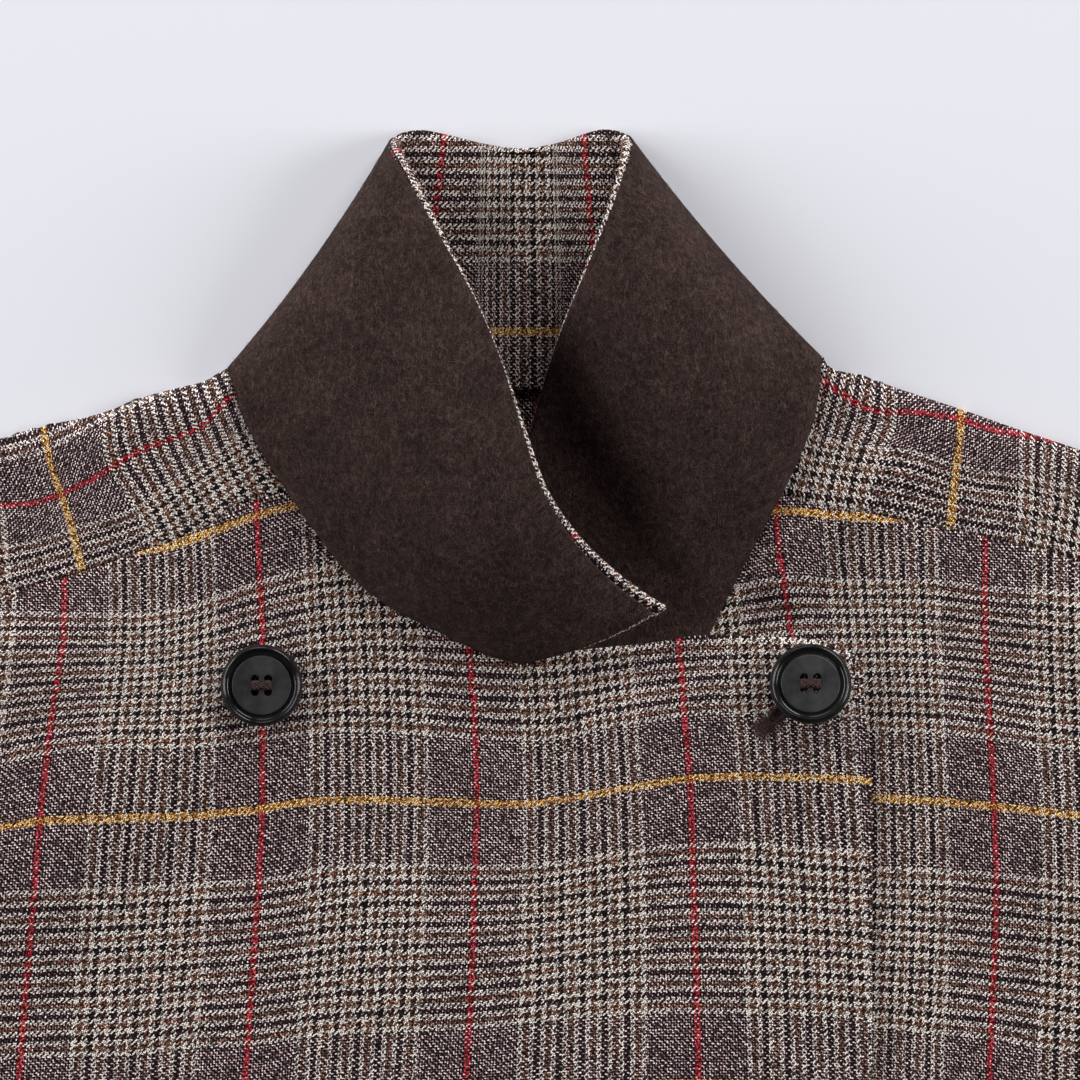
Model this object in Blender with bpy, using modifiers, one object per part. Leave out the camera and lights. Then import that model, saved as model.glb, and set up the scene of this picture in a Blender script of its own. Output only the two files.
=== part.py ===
"""Double-breasted jacket with raglan sleeves and a turned-up, felt-backed collar, laid flat on its back.

Metres, +Z up. The plan is drawn with X = 0 on the centre front and Y = 0 at the neck points, and an
empty moves it so that the origin lies under the middle of the garment's box. The wearer's right side
is at -X. The wearer's right front lies over the left one.
"""

import math

import bpy
import numpy as np

# Cloth, felt and seams
CLOTH = 0.0016
FELT = 0.0017
COLLAR_CLOTH = 0.0014
SEAM_GAP = 0.0003
NECK_GAP = 0.0006
SHOULDER_NECK_GAP = 0.0020
ARMPIT_GAP = 0.0012
COLLAR_LAYER = (SEAM_GAP + FELT) / 2
COLLAR_LINING_LAYER = (SEAM_GAP + COLLAR_CLOTH) / 2

# Lengths along the garment, from the neck points
COLLAR_TOP = 0.0751
HEM_CENTRE = -0.6993
HEM_SIDE = -0.6920
PLAN_TO_ORIGIN = -(COLLAR_TOP + HEM_CENTRE) / 2

# Widths from the centre front
ARMPIT = (0.262, -0.268)
HEM_HALF = 0.288
FRONT_OVERLAP = 0.1019
FRONT_WIDTH = 0.370

# Raglan sleeve: the shoulder fold, then a straight run at this slope to the cuff
SHOULDER_RIGHT = [(-0.1110, -0.0049), (-0.1226, -0.0082), (-0.1342, -0.0127), (-0.1635, -0.0200)]
SHOULDER_LEFT = [(0.0994, -0.0008), (0.1107, -0.0048), (0.1293, -0.0109), (0.1467, -0.0170),
                 (0.1659, -0.0234)]
OVERARM = [(0.220, -0.042), (0.280, -0.070), (0.340, -0.108), (0.400, -0.160)]
SHOULDER_NECK_DROP = 0.0012
SLEEVE_SLOPE = math.radians(48)
SLEEVE_RUN = 0.380
CUFF_WIDTH = 0.140
# Front raglan seams below the neckline, down to the armpit
RAGLAN_RIGHT = [(-0.0875, -0.0381), (-0.0976, -0.0445), (-0.1077, -0.0494), (-0.1177, -0.0529),
                (-0.1278, -0.0561), (-0.1386, -0.0604), (-0.1479, -0.0628), (-0.1579, -0.0657),
                (-0.1730, -0.0722), (-0.2080, -0.0960), (-0.2400, -0.1500), (-0.2570, -0.2130)]
RAGLAN_LEFT = [(0.0820, -0.0387), (0.0920, -0.0410), (0.1007, -0.0419), (0.1098, -0.0439),
               (0.1183, -0.0453), (0.1270, -0.0470), (0.1363, -0.0491), (0.1469, -0.0518),
               (0.1548, -0.0540), (0.1653, -0.0569), (0.2050, -0.0840), (0.2400, -0.1430),
               (0.2570, -0.2110)]
BACK_RAGLAN_START = (0.058, -0.0042)
BACK_SLEEVE_TIP = (0.0030, 0.0016)
BACK_RAGLAN_PULL = [(0.130, -0.035), (0.225, -0.090)]

# Heights of the middle of a top layer above the floor
SINGLE_HEIGHT = 0.0050
NECK_RISE = 0.0015
OVER_HEIGHT = 0.0080
HEM_DROP = 0.0012
EDGE_HEIGHT = 0.0004
EDGE_ROLL = 0.008
LAYER_INSET = 0.0032
# Where the heights change: between two x, two y or two distances
OVER_RISE_X = (-0.170, -0.105)
NECK_RISE_X = (0.100, 0.180)
NECK_RISE_Y = (-0.085, -0.045)
UNDER_FOLDS_X = (0.104, 0.130)
HEM_NEAR = (0.010, 0.110)
CUFF_NEAR = (0.080, 0.160)
FOLD_STARTS = (-0.15, 0.35)
FOLD_ENDS = (0.65, 1.15)
NECK_FOLD_NEAR = (0.86, 1.0)
ARMPIT_NEAR = (0.70, 1.0)
FRONT_CORNER = (0.0, 0.06)

# Buttons
BUTTON_ROWS = 3
BUTTON_PITCH = 0.145
BUTTON_TOP = -0.0946
BUTTON_SPREAD = 0.0836
BUTTON_RADIUS = 0.0125
BUTTON_HOLE = 0.0011
BUTTON_HOLE_SPREAD = 0.0020
BUTTON_LIFT = 0.0004
BUTTON_SIDES = 24
HOLE_SIDES = 8
HOLE_CUT_DEPTH = 0.010
HOLE_CUT_HEIGHT = 0.0015
TURN_MERGE = 0.00005
# Radius and height, from the middle of the face over the rim to the middle of the back
BUTTON_PROFILE = [(0.0, 0.0027), (0.0086, 0.0027), (0.0090, 0.0028), (0.0098, 0.0034), (0.0108, 0.0040),
                  (0.0118, 0.0039), (BUTTON_RADIUS, 0.0030), (BUTTON_RADIUS, 0.0022), (0.0112, 0.0006),
                  (0.0090, 0.0), (0.0, 0.0)]
# Rings of points under a button, which rests on the highest of them
SEAT_RADII = (0.0, 0.005, 0.010)
SEAT_POINTS = 12

# Neckline of the over side, from the collar's end at the centre front to the fold at the shoulder
OVER_NECK = [(-0.0027, -0.0869), (-0.0116, -0.0851), (-0.0220, -0.0796), (-0.0345, -0.0747),
             (-0.0442, -0.0714), (-0.0534, -0.0650), (-0.0613, -0.0586), (-0.0674, -0.0503),
             (-0.0744, -0.0397), (-0.0820, -0.0293), (-0.0878, -0.0195), (-0.0921, -0.0092),
             (-0.0939, 0.0009)]
# Neckline of the under side, from its hidden end to the fold at the shoulder
UNDER_NECK = [(0.0165, -0.1068), (0.0300, -0.1030), (0.0420, -0.0935), (0.0519, -0.0796), (0.0619, -0.0601),
              (0.0705, -0.0433), (0.0787, -0.0256), (0.0839, -0.0125), (0.0860, 0.0043)]
RAGLAN_START_Y = -0.0360
# Top edges of the fronts, from the front corner to the collar's end
OVER_TOP = [(0.0990, -0.0905), (0.0955, -0.0850), (0.0866, -0.0815), (0.0735, -0.0806),
            (0.0519, -0.0799), (0.0348, -0.0824), (0.0195, -0.0839), (0.0043, -0.0857)]
UNDER_TOP = [(-0.0990, -0.1145), (-0.0955, -0.1090), (-0.0866, -0.1065), (-0.0600, -0.1065),
             (-0.0200, -0.1085), (0.0080, -0.1095)]
BACK_NECK = -0.0049

# Collar sections. A row has the point on the neckline, the point on the outer edge and the offset of the
# middle between them from a straight line, each as x, y and z. The over side runs from its end at the
# centre front to the shoulder fold, and the under side the other way.
COLLAR_OVER = [
    (-0.0027, -0.0869, 0.0098, 0.0390, -0.0705, 0.0170, 0.0, 0.0, 0.0024),
    (-0.0140, -0.0842, 0.0098, 0.0241, -0.0595, 0.0240, 0.0, 0.0, 0.0046),
    (-0.0293, -0.0769, 0.0098, 0.0119, -0.0473, 0.0290, 0.0, 0.0, 0.0062),
    (-0.0442, -0.0714, 0.0098, 0.0037, -0.0351, 0.0325, 0.0, 0.0, 0.0074),
    (-0.0583, -0.0613, 0.0098, -0.0027, -0.0174, 0.0345, 0.0, 0.0, 0.0080),
    (-0.0705, -0.0458, 0.0098, -0.0101, 0.0040, 0.0340, 0.0, 0.0, 0.0080),
    (-0.0796, -0.0329, 0.0097, -0.0183, 0.0235, 0.0310, 0.0, 0.0, 0.0070),
    (-0.0872, -0.0204, 0.0096, -0.0271, 0.0409, 0.0270, 0.0, 0.0, 0.0058),
    (-0.0915, -0.0101, 0.0094, -0.0354, 0.0576, 0.0220, 0.0006, -0.0003, 0.0038),
    (-0.0926, -0.0050, 0.0090, -0.0392, 0.0652, 0.0180, 0.0014, -0.0008, 0.0020),
]
COLLAR_OVER_FOLD = [
    (-0.0935, -0.0015, 0.0078, -0.0415, 0.0694, 0.0130, 0.0018, -0.0012, 0.0008),
    (-0.0939, 0.0009, 0.0052, -0.0424, 0.0714, 0.0085, 0.0018, -0.0014, 0.0),
    (-0.0930, 0.0014, 0.0028, -0.0412, 0.0738, 0.0042, 0.0016, -0.0012, 0.0),
    (-0.0895, 0.0010, 0.0019, -0.0381, 0.0748, 0.0021, 0.0010, -0.0006, 0.0),
]
COLLAR_BACK = [
    (-0.0700, -0.0010, 0.0019, -0.0290, 0.0740, 0.0019, 0.0, 0.0, 0.0),
    (-0.0400, -0.0034, 0.0019, -0.0170, 0.0711, 0.0019, 0.0, 0.0, 0.0),
    (-0.0024, -0.0042, 0.0019, -0.0045, 0.0694, 0.0019, 0.0, 0.0, 0.0),
    (0.0340, -0.0020, 0.0019, 0.0070, 0.0712, 0.0019, 0.0, 0.0, 0.0),
    (0.0630, 0.0018, 0.0019, 0.0160, 0.0742, 0.0019, 0.0, 0.0, 0.0),
]
COLLAR_UNDER_FOLD = [
    (0.0818, 0.0042, 0.0019, 0.0225, 0.0752, 0.0021, -0.0010, -0.0006, 0.0),
    (0.0850, 0.0047, 0.0028, 0.0256, 0.0742, 0.0042, -0.0014, -0.0010, 0.0),
    (0.0860, 0.0043, 0.0050, 0.0268, 0.0720, 0.0080, -0.0014, -0.0010, 0.0),
    (0.0858, 0.0015, 0.0070, 0.0265, 0.0698, 0.0118, -0.0012, -0.0008, 0.0010),
]
COLLAR_UNDER = [
    (0.0853, -0.0030, 0.0079, 0.0258, 0.0655, 0.0170, -0.0008, -0.0004, 0.0032),
    (0.0839, -0.0125, 0.0081, 0.0238, 0.0585, 0.0210, 0.0, 0.0, 0.0070),
    (0.0812, -0.0200, 0.0080, 0.0212, 0.0495, 0.0240, 0.0, 0.0, 0.0100),
    (0.0770, -0.0300, 0.0076, 0.0178, 0.0400, 0.0245, 0.0, 0.0, 0.0115),
    (0.0705, -0.0433, 0.0070, 0.0138, 0.0295, 0.0225, 0.0, 0.0, 0.0115),
    (0.0642, -0.0558, 0.0063, 0.0092, 0.0180, 0.0185, 0.0, 0.0, 0.0095),
    (0.0582, -0.0675, 0.0056, 0.0048, 0.0055, 0.0135, 0.0, 0.0, 0.0065),
    (0.0519, -0.0796, 0.0049, 0.0000, -0.0100, 0.0090, 0.0, 0.0, 0.0024),
    (0.0420, -0.0935, 0.0044, -0.0055, -0.0300, 0.0063, 0.0, 0.0, 0.0003),
    (0.0300, -0.1030, 0.0042, -0.0120, -0.0530, 0.0052, 0.0, 0.0, 0.0),
    (0.0165, -0.1068, 0.0041, -0.0200, -0.0830, 0.0043, 0.0, 0.0, 0.0),
]
COLLAR_ACROSS = 7
FELT_EDGE_INSET = 0.0020
FELT_END_INSET = 0.0012

# Soft folds that raise the top layer. A row has a ridge's two ends, each as x and y, its half width and rise.
FOLDS = [
    (-0.100, -0.100, -0.235, -0.215, 0.022, 0.0030),
    (-0.120, -0.075, -0.215, -0.110, 0.016, 0.0024),
    (0.130, -0.110, 0.235, -0.220, 0.020, 0.0026),
    (0.125, -0.060, 0.215, -0.100, 0.014, 0.0020),
    (-0.050, -0.160, -0.080, -0.420, 0.024, 0.0022),
    (0.170, -0.300, 0.200, -0.560, 0.026, 0.0022),
    (-0.180, -0.330, -0.215, -0.580, 0.028, 0.0026),
    (-0.300, -0.200, -0.420, -0.270, 0.016, 0.0030),
    (0.300, -0.205, 0.415, -0.285, 0.016, 0.0030),
    (-0.440, -0.330, -0.520, -0.360, 0.014, 0.0024),
    (0.450, -0.330, 0.525, -0.375, 0.014, 0.0024),
]

# Counts along and across the pieces
RAGLAN_STEPS = 12
SIDE_STEPS = 9
FRONT_STEPS = 18
SLEEVE_STEPS = 6
SLEEVE_BACK_STEPS = 5
BACK_STEPS = 12
EDGE_STEPS = [0.0005, 0.0015, 0.0035, 0.0080]
CURVE_POINTS = 24
PULL_POINTS = 200
NECK_POINTS = 240
TOP_EDGE_POINTS = 60
FOLD_POINTS = 600
FOLD_HEIGHT_POINTS = 80

# Edges sharper than these angles stay sharp
CLOTH_SHARP = math.radians(50)
BUTTON_SHARP = math.radians(35)

# Base colour and roughness
WOOL_FINISH = ((0.145, 0.115, 0.108), 0.90)
FELT_FINISH = ((0.034, 0.023, 0.021), 0.95)
HORN_FINISH = ((0.022, 0.022, 0.023), 0.35)


def smooth_line(points, count):
    """Points evenly spaced along a smooth curve through the given ones."""
    points = np.asarray(points, float)
    before = 2 * points[0] - points[1]
    after = 2 * points[-1] - points[-2]
    padded = np.vstack([before, points, after])
    dense = []
    for i in range(len(points) - 1):
        a, b, c, d = padded[i:i + 4]
        for t in np.linspace(0, 1, CURVE_POINTS, endpoint=False):
            dense.append(0.5 * (2 * b + (c - a) * t + (2 * a - 5 * b + 4 * c - d) * t ** 2
                                + (3 * b - a - 3 * c + d) * t ** 3))
    dense.append(points[-1])
    return resample(dense, count)


def resample(line, count):
    """The same line with count points, evenly spaced."""
    line = np.asarray(line, float)
    along = np.concatenate([[0], np.cumsum(np.linalg.norm(np.diff(line, axis=0), axis=1))])
    at = np.linspace(0, along[-1], count)
    return np.stack([np.interp(at, along, line[:, k]) for k in range(line.shape[1])], axis=1)


def bezier(start, pulls, end, count):
    """Points along a cubic curve with two pulls."""
    t = np.linspace(0, 1, PULL_POINTS)[:, None]
    curve = ((1 - t) ** 3 * np.array(start) + 3 * (1 - t) ** 2 * t * np.array(pulls[0])
             + 3 * (1 - t) * t ** 2 * np.array(pulls[1]) + t ** 3 * np.array(end))
    return resample(curve, count)


def moved_aside(line, distance):
    """A plan line moved to its left by a distance."""
    line = np.asarray(line, float)
    run = np.gradient(line, axis=0)
    run /= np.linalg.norm(run, axis=1)[:, None]
    return line + distance * np.stack([-run[:, 1], run[:, 0]], axis=1)


def mirrored(points, side):
    """Plan points of the +X side, taken to the side asked for."""
    return np.asarray(points, float) * np.array([side, 1.0])


def neckline(side):
    """The side's neckline from the collar's end to the shoulder fold, as a dense line."""
    return smooth_line(OVER_NECK if side < 0 else UNDER_NECK, NECK_POINTS)


def neck_edge(side):
    """The edge of the pieces sewn to the collar: clear of the neckline, and more so at the shoulder fold."""
    line = neckline(side)
    near_fold = smooth_step(shares(line), *NECK_FOLD_NEAR)[:, None]
    gap = NECK_GAP + (SHOULDER_NECK_GAP - NECK_GAP) * near_fold
    return moved_aside(line, -side * gap) - near_fold * np.array([0.0, SHOULDER_NECK_DROP])


def raglan_start(side):
    """Index on the neckline where the raglan seam begins."""
    return int(np.argmin(np.abs(neckline(side)[:, 1] - RAGLAN_START_Y)))


def hem_y(x):
    """The hem's curve, lowest at the centre."""
    return HEM_CENTRE + (HEM_SIDE - HEM_CENTRE) * (x / HEM_HALF) ** 2


def shoulder_fold(side, count):
    """The sleeve's outer fold, from the neck to the cuff."""
    start = neck_edge(side)[-1]
    shoulder = SHOULDER_RIGHT if side < 0 else SHOULDER_LEFT
    last = np.array(OVERARM[-1])
    cuff = last + SLEEVE_RUN * np.array([math.cos(SLEEVE_SLOPE), -math.sin(SLEEVE_SLOPE)])
    arm = mirrored(OVERARM + [tuple((last + cuff) / 2), tuple(cuff)], side)
    return smooth_line(np.vstack([start, shoulder, arm]), count)


def cuff_inner(side):
    """The cuff's corner on the underarm seam."""
    outer = shoulder_fold(side, 2)[-1]
    return outer - CUFF_WIDTH * np.array([side * math.sin(SLEEVE_SLOPE), math.cos(SLEEVE_SLOPE)])


def raglan_seam(side, apart):
    """The front raglan seam, neckline to armpit: the sleeve's side if apart is 1, else the front's."""
    start = neck_edge(side)[raglan_start(side)]
    between = RAGLAN_RIGHT if side < 0 else RAGLAN_LEFT
    seam = smooth_line(np.vstack([start, between, mirrored([ARMPIT], side)]), RAGLAN_STEPS + 1)
    seam = moved_aside(seam, apart * side * SEAM_GAP / 2)
    near_armpit = smooth_step(shares(seam), *ARMPIT_NEAR)[:, None]
    return seam + near_armpit * apart * np.array([side * ARMPIT_GAP, ARMPIT_GAP])


def side_seam(side):
    """The body's side, from the armpit to the hem."""
    return resample(mirrored([ARMPIT, (HEM_HALF, HEM_SIDE)], side), SIDE_STEPS + 1)


def underarm_seam(side):
    """The sleeve's inner edge, from the armpit to the cuff."""
    return resample([mirrored([ARMPIT], side)[0], cuff_inner(side)], SIDE_STEPS + 1)


def distance_to(points, line):
    """The distance of each plan point from a line of points."""
    best = np.full(len(points), np.inf)
    for a, b in zip(line[:-1], line[1:]):
        run = b - a
        share = np.clip(((points - a) @ run) / (run @ run), 0, 1)
        best = np.minimum(best, np.linalg.norm(points - a - share[:, None] * run, axis=1))
    return best


def smooth_step(value, low, high):
    """0 below the low value and 1 above the high one, with a soft change between."""
    share = np.clip((value - low) / (high - low), 0, 1)
    return share * share * (3 - 2 * share)


def rolled(distance, radius):
    """0 at an edge and 1 past the radius, as a quarter of an ellipse."""
    return np.sqrt(np.clip(1 - (1 - np.clip(distance / radius, 0, 1)) ** 2, 0, 1))


def fold_rise(points):
    """How much the soft folds raise a top layer at plan points."""
    rise = np.zeros(len(points))
    for from_x, from_y, to_x, to_y, half_width, height in FOLDS:
        start = np.array([from_x, from_y])
        run = np.array([to_x, to_y]) - start
        share = ((points - start) @ run) / (run @ run)
        off = np.linalg.norm(points - start - np.clip(share, 0, 1)[:, None] * run, axis=1)
        taper = smooth_step(share, *FOLD_STARTS) * (1 - smooth_step(share, *FOLD_ENDS))
        rise += height * taper * np.exp(-(off / half_width) ** 2)
    return rise


def layer_height(points, side):
    """Height of a top layer's middle: it rolls down to the floor at the side, underarm and shoulder."""
    points = np.asarray(points, float)
    x, y = points[:, 0], points[:, 1]
    if side < 0:
        height = SINGLE_HEIGHT + (OVER_HEIGHT - SINGLE_HEIGHT) * smooth_step(x, *OVER_RISE_X)
        folds = fold_rise(points)
    else:
        near_neck = smooth_step(y, *NECK_RISE_Y) * (1 - smooth_step(x, *NECK_RISE_X))
        height = SINGLE_HEIGHT + NECK_RISE * near_neck
        folds = fold_rise(points) * smooth_step(x, *UNDER_FOLDS_X)
    near_hem = 1 - smooth_step(y - HEM_CENTRE, *HEM_NEAR)
    from_cuff = np.linalg.norm(points - (cuff_inner(side) + shoulder_fold(side, 2)[-1]) / 2, axis=1)
    near_cuff = 1 - smooth_step(from_cuff, *CUFF_NEAR)
    height = height + folds * (1 - near_hem) - HEM_DROP * np.maximum(near_hem, near_cuff)
    edge = np.minimum(distance_to(points, side_seam(side)), distance_to(points, underarm_seam(side)))
    edge = np.minimum(edge, distance_to(points, shoulder_fold(side, FOLD_HEIGHT_POINTS)))
    return EDGE_HEIGHT + (height - EDGE_HEIGHT) * rolled(edge, EDGE_ROLL)


def patch(top, bottom, left, right, across, down):
    """A plan grid that fills four boundary lines. Across and down are each line's shares, from 0 to 1."""
    across, down = np.asarray(across), np.asarray(down)
    u, v = across[None, :, None], down[:, None, None]
    rows = (1 - v) * top[None] + v * bottom[None] + (1 - u) * left[:, None] + u * right[:, None]
    corners = ((1 - v) * ((1 - u) * top[0] + u * top[-1]) + v * ((1 - u) * bottom[0] + u * bottom[-1]))
    return rows - corners


def shares(line):
    """Each point's share of the way along its line."""
    along = np.concatenate([[0], np.cumsum(np.linalg.norm(np.diff(line, axis=0), axis=1))])
    return along / along[-1]


def edge_shares(count, width, both_ends):
    """Shares from 0 to 1 across a piece of the given width, close together where its edge rolls over."""
    near = np.array(EDGE_STEPS) / width
    inner = np.linspace(near[-1] if both_ends else 0.0, 1 - near[-1], count)
    first = np.concatenate([[0.0], near[:-1]]) if both_ends else []
    return np.concatenate([first, inner, 1 - near[-2::-1], [1.0]])


def at_shares(line, at):
    """The points of a line at shares of its length."""
    along = shares(line)
    return np.stack([np.interp(at, along, line[:, k]) for k in range(line.shape[1])], axis=1)


def cloth(name, points, thickness, material, collection):
    """A wall of even thickness round a grid of points, rows by columns."""
    rows, columns = points.shape[:2]
    faces = []
    for i in range(rows - 1):
        for j in range(columns - 1):
            corner = i * columns + j
            faces.append((corner, corner + columns, corner + columns + 1, corner + 1))
    mesh = bpy.data.meshes.new(name)
    mesh.from_pydata([tuple(p) for p in points.reshape(-1, 3)], [], faces)
    mesh.shade_smooth()
    mesh.set_sharp_from_angle(angle=CLOTH_SHARP)
    mesh.materials.append(material)
    piece = bpy.data.objects.new(name, mesh)
    collection.objects.link(piece)
    wall = piece.modifiers.new("wall", "SOLIDIFY")
    wall.thickness = thickness
    wall.offset = 0
    wall.use_even_offset = True
    return piece


def facing_up(points):
    """The grid with its columns turned round if its faces would look down."""
    first = points[1, 0] - points[0, 0]
    second = points[0, 1] - points[0, 0]
    return points if np.cross(first, second)[2] > 0 else points[:, ::-1]


def with_height(plan, side):
    """A top layer's plan grid with the layer's heights."""
    height = layer_height(plan.reshape(-1, 2), side).reshape(plan.shape[:2])
    return np.dstack([plan, height])


def front_panel(side):
    """A front: from its edge at the overlap to the raglan and side seams, and neckline to hem."""
    neck = neck_edge(side)[:raglan_start(side) + 1]
    seam = raglan_seam(side, -1)
    top_edge = smooth_line((OVER_TOP if side < 0 else UNDER_TOP) + [tuple(neck[0])], TOP_EDGE_POINTS)
    top = np.vstack([top_edge[:-1], neck[:-1], seam[:1]])
    top = at_shares(top, edge_shares(FRONT_STEPS, FRONT_WIDTH, False))
    right = np.vstack([seam, side_seam(side)[1:]])
    down = shares(right)
    straight = -side * FRONT_OVERLAP
    front_x = straight + (top[0, 0] - straight) * (1 - smooth_step(down, *FRONT_CORNER))
    left = np.stack([front_x, np.interp(down, [0, 1], [top[0, 1], hem_y(FRONT_OVERLAP)])], axis=1)
    across = shares(top)
    hem_x = np.interp(across, [0, 1], [left[-1, 0], right[-1, 0]])
    hem = np.stack([hem_x, hem_y(hem_x)], axis=1)
    return with_height(patch(top, hem, left, right, across, down), side)


def sleeve_front(side):
    """The upper half of a raglan sleeve: from the front seams to the shoulder fold, and neck to cuff."""
    inner = np.vstack([raglan_seam(side, 1), underarm_seam(side)[1:]])
    down = shares(inner)
    outer = at_shares(shoulder_fold(side, FOLD_POINTS), down)
    across = edge_shares(SLEEVE_STEPS, CUFF_WIDTH, True)
    neck = np.vstack([inner[:1], neck_edge(side)[raglan_start(side) + 1:-1], outer[:1]])
    neck = at_shares(neck, across)
    cuff = at_shares(np.vstack([inner[-1], outer[-1]]), across)
    return with_height(patch(neck, cuff, inner, outer, across, down), side)


def back_raglan(side, apart):
    """The back raglan seam, neck to armpit: the sleeve's side if apart is 1, else the back's."""
    end = mirrored([ARMPIT], side)[0] + apart * np.array([side * ARMPIT_GAP, ARMPIT_GAP])
    start = mirrored([BACK_RAGLAN_START], side)[0]
    seam = bezier(start, mirrored(BACK_RAGLAN_PULL, side), end, RAGLAN_STEPS + 1)
    return moved_aside(seam, apart * side * SEAM_GAP / 2)


def sleeve_back(side):
    """The lower half of a raglan sleeve, flat on the floor inside the rolled edges of the upper half."""
    low = moved_aside(underarm_seam(side), side * LAYER_INSET)[1:]
    inner = np.vstack([back_raglan(side, 1), low])
    tip = inner[0] + mirrored([BACK_SLEEVE_TIP], side)[0]
    outer = np.vstack([tip, moved_aside(shoulder_fold(side, FOLD_POINTS), -side * LAYER_INSET)])
    down = shares(inner)
    outer = at_shares(outer, down)
    across = np.linspace(0, 1, SLEEVE_BACK_STEPS + 1)
    first = at_shares(np.vstack([inner[0], outer[0]]), across)
    cuff = at_shares(np.vstack([inner[-1], outer[-1]]), across)
    plan = patch(first, cuff, inner, outer, across, down)
    return np.dstack([plan, np.full(plan.shape[:2], CLOTH / 2)])


def back_panel():
    """The back: flat on the floor, inside the rolled edges of the fronts."""
    sides = {}
    for side in (-1, 1):
        low = moved_aside(side_seam(side), -side * LAYER_INSET)[1:]
        sides[side] = np.vstack([back_raglan(side, -1), low])
    across = np.linspace(0, 1, BACK_STEPS + 1)
    top = at_shares(np.vstack([sides[-1][0], sides[1][0]]), across)
    top[:, 1] += (BACK_NECK - top[0, 1]) * np.sin(np.pi * across)
    hem = at_shares(np.vstack([sides[-1][-1], sides[1][-1]]), across)
    hem[:, 1] = hem_y(hem[:, 0])
    plan = patch(top, hem, sides[-1], sides[1], across, shares(sides[1]))
    return np.dstack([plan, np.full(plan.shape[:2], CLOTH / 2)])


def collar_surface():
    """The collar's middle surface, section by section, from the over end round the back to the under end."""
    table = np.array(COLLAR_OVER + COLLAR_OVER_FOLD + COLLAR_BACK + COLLAR_UNDER_FOLD + COLLAR_UNDER)
    base, edge, middle = np.split(table, 3, axis=1)
    rows = []
    for b in np.linspace(0, 1, COLLAR_ACROSS + 1):
        rows.append((1 - b) * base + b * edge + 4 * b * (1 - b) * middle)
    return np.stack(rows, axis=1)


def drawn_in(points, edge_inset, end_inset):
    """A grid with its outer edge and both ends drawn in, along its own faces."""
    points = points.copy()
    outer = (points[:, -1], points[:, -2], edge_inset)
    first = (points[0], points[1], end_inset)
    last = (points[-1], points[-2], end_inset)
    for line, neighbour, inset in (outer, first, last):
        step = neighbour - line
        line += step * inset / np.linalg.norm(step, axis=1)[:, None]
    return points


def outward(points):
    """Steps from a grid of points out of the collar's felt side, that move each face by the same distance."""
    along = np.diff(points, axis=0)
    across = np.diff(points, axis=1)
    facing = np.cross(across[:-1] + across[1:], along[:, :-1] + along[:, 1:])
    facing /= np.linalg.norm(facing, axis=2)[:, :, None]
    corners = np.pad(facing, ((1, 1), (1, 1), (0, 0)), mode="edge")
    around = np.stack([corners[:-1, :-1], corners[1:, :-1], corners[:-1, 1:], corners[1:, 1:]])
    normal = around.sum(axis=0)
    normal /= np.linalg.norm(normal, axis=2)[:, :, None]
    return normal / (around * normal).sum(axis=3).mean(axis=0)[:, :, None]


def button_mesh():
    """A turned button with a raised rim and four holes, standing on its back."""
    mesh = bpy.data.meshes.new("button")
    edges = [(i, i + 1) for i in range(len(BUTTON_PROFILE) - 1)]
    mesh.from_pydata([(r, 0.0, z) for r, z in BUTTON_PROFILE], edges, [])
    blank = bpy.data.objects.new("button_blank", mesh)
    bpy.context.scene.collection.objects.link(blank)
    turn = blank.modifiers.new("turn", "SCREW")
    turn.steps = BUTTON_SIDES
    turn.render_steps = BUTTON_SIDES
    turn.use_merge_vertices = True
    turn.merge_threshold = TURN_MERGE
    cutters = []
    for x in (-BUTTON_HOLE_SPREAD, BUTTON_HOLE_SPREAD):
        for y in (-BUTTON_HOLE_SPREAD, BUTTON_HOLE_SPREAD):
            bpy.ops.mesh.primitive_cylinder_add(vertices=HOLE_SIDES, radius=BUTTON_HOLE,
                                                depth=HOLE_CUT_DEPTH, location=(x, y, HOLE_CUT_HEIGHT))
            cutter = bpy.context.object
            cutters.append(cutter)
            cut = blank.modifiers.new("hole", "BOOLEAN")
            cut.object = cutter
    graph = bpy.context.evaluated_depsgraph_get()
    made = bpy.data.meshes.new_from_object(blank.evaluated_get(graph))
    for extra in cutters + [blank]:
        bpy.data.objects.remove(extra)
    made.shade_smooth()
    made.set_sharp_from_angle(angle=BUTTON_SHARP)
    return made


def material(name, colour, roughness):
    """A plain finish for one kind of piece."""
    finish = bpy.data.materials.new(name)
    finish.use_nodes = True
    shader = finish.node_tree.nodes["Principled BSDF"]
    shader.inputs["Base Color"].default_value = (*colour, 1.0)
    shader.inputs["Roughness"].default_value = roughness
    shader.inputs["Metallic"].default_value = 0.0
    return finish


def button_rest(place):
    """The height at which a button lies on the over front."""
    angles = np.linspace(0, 2 * math.pi, SEAT_POINTS, endpoint=False)
    ring = np.stack([np.cos(angles), np.sin(angles)], axis=1)
    under = np.vstack([place + radius * ring for radius in SEAT_RADII])
    return layer_height(under, -1).max() + CLOTH / 2 + BUTTON_LIFT


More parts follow.
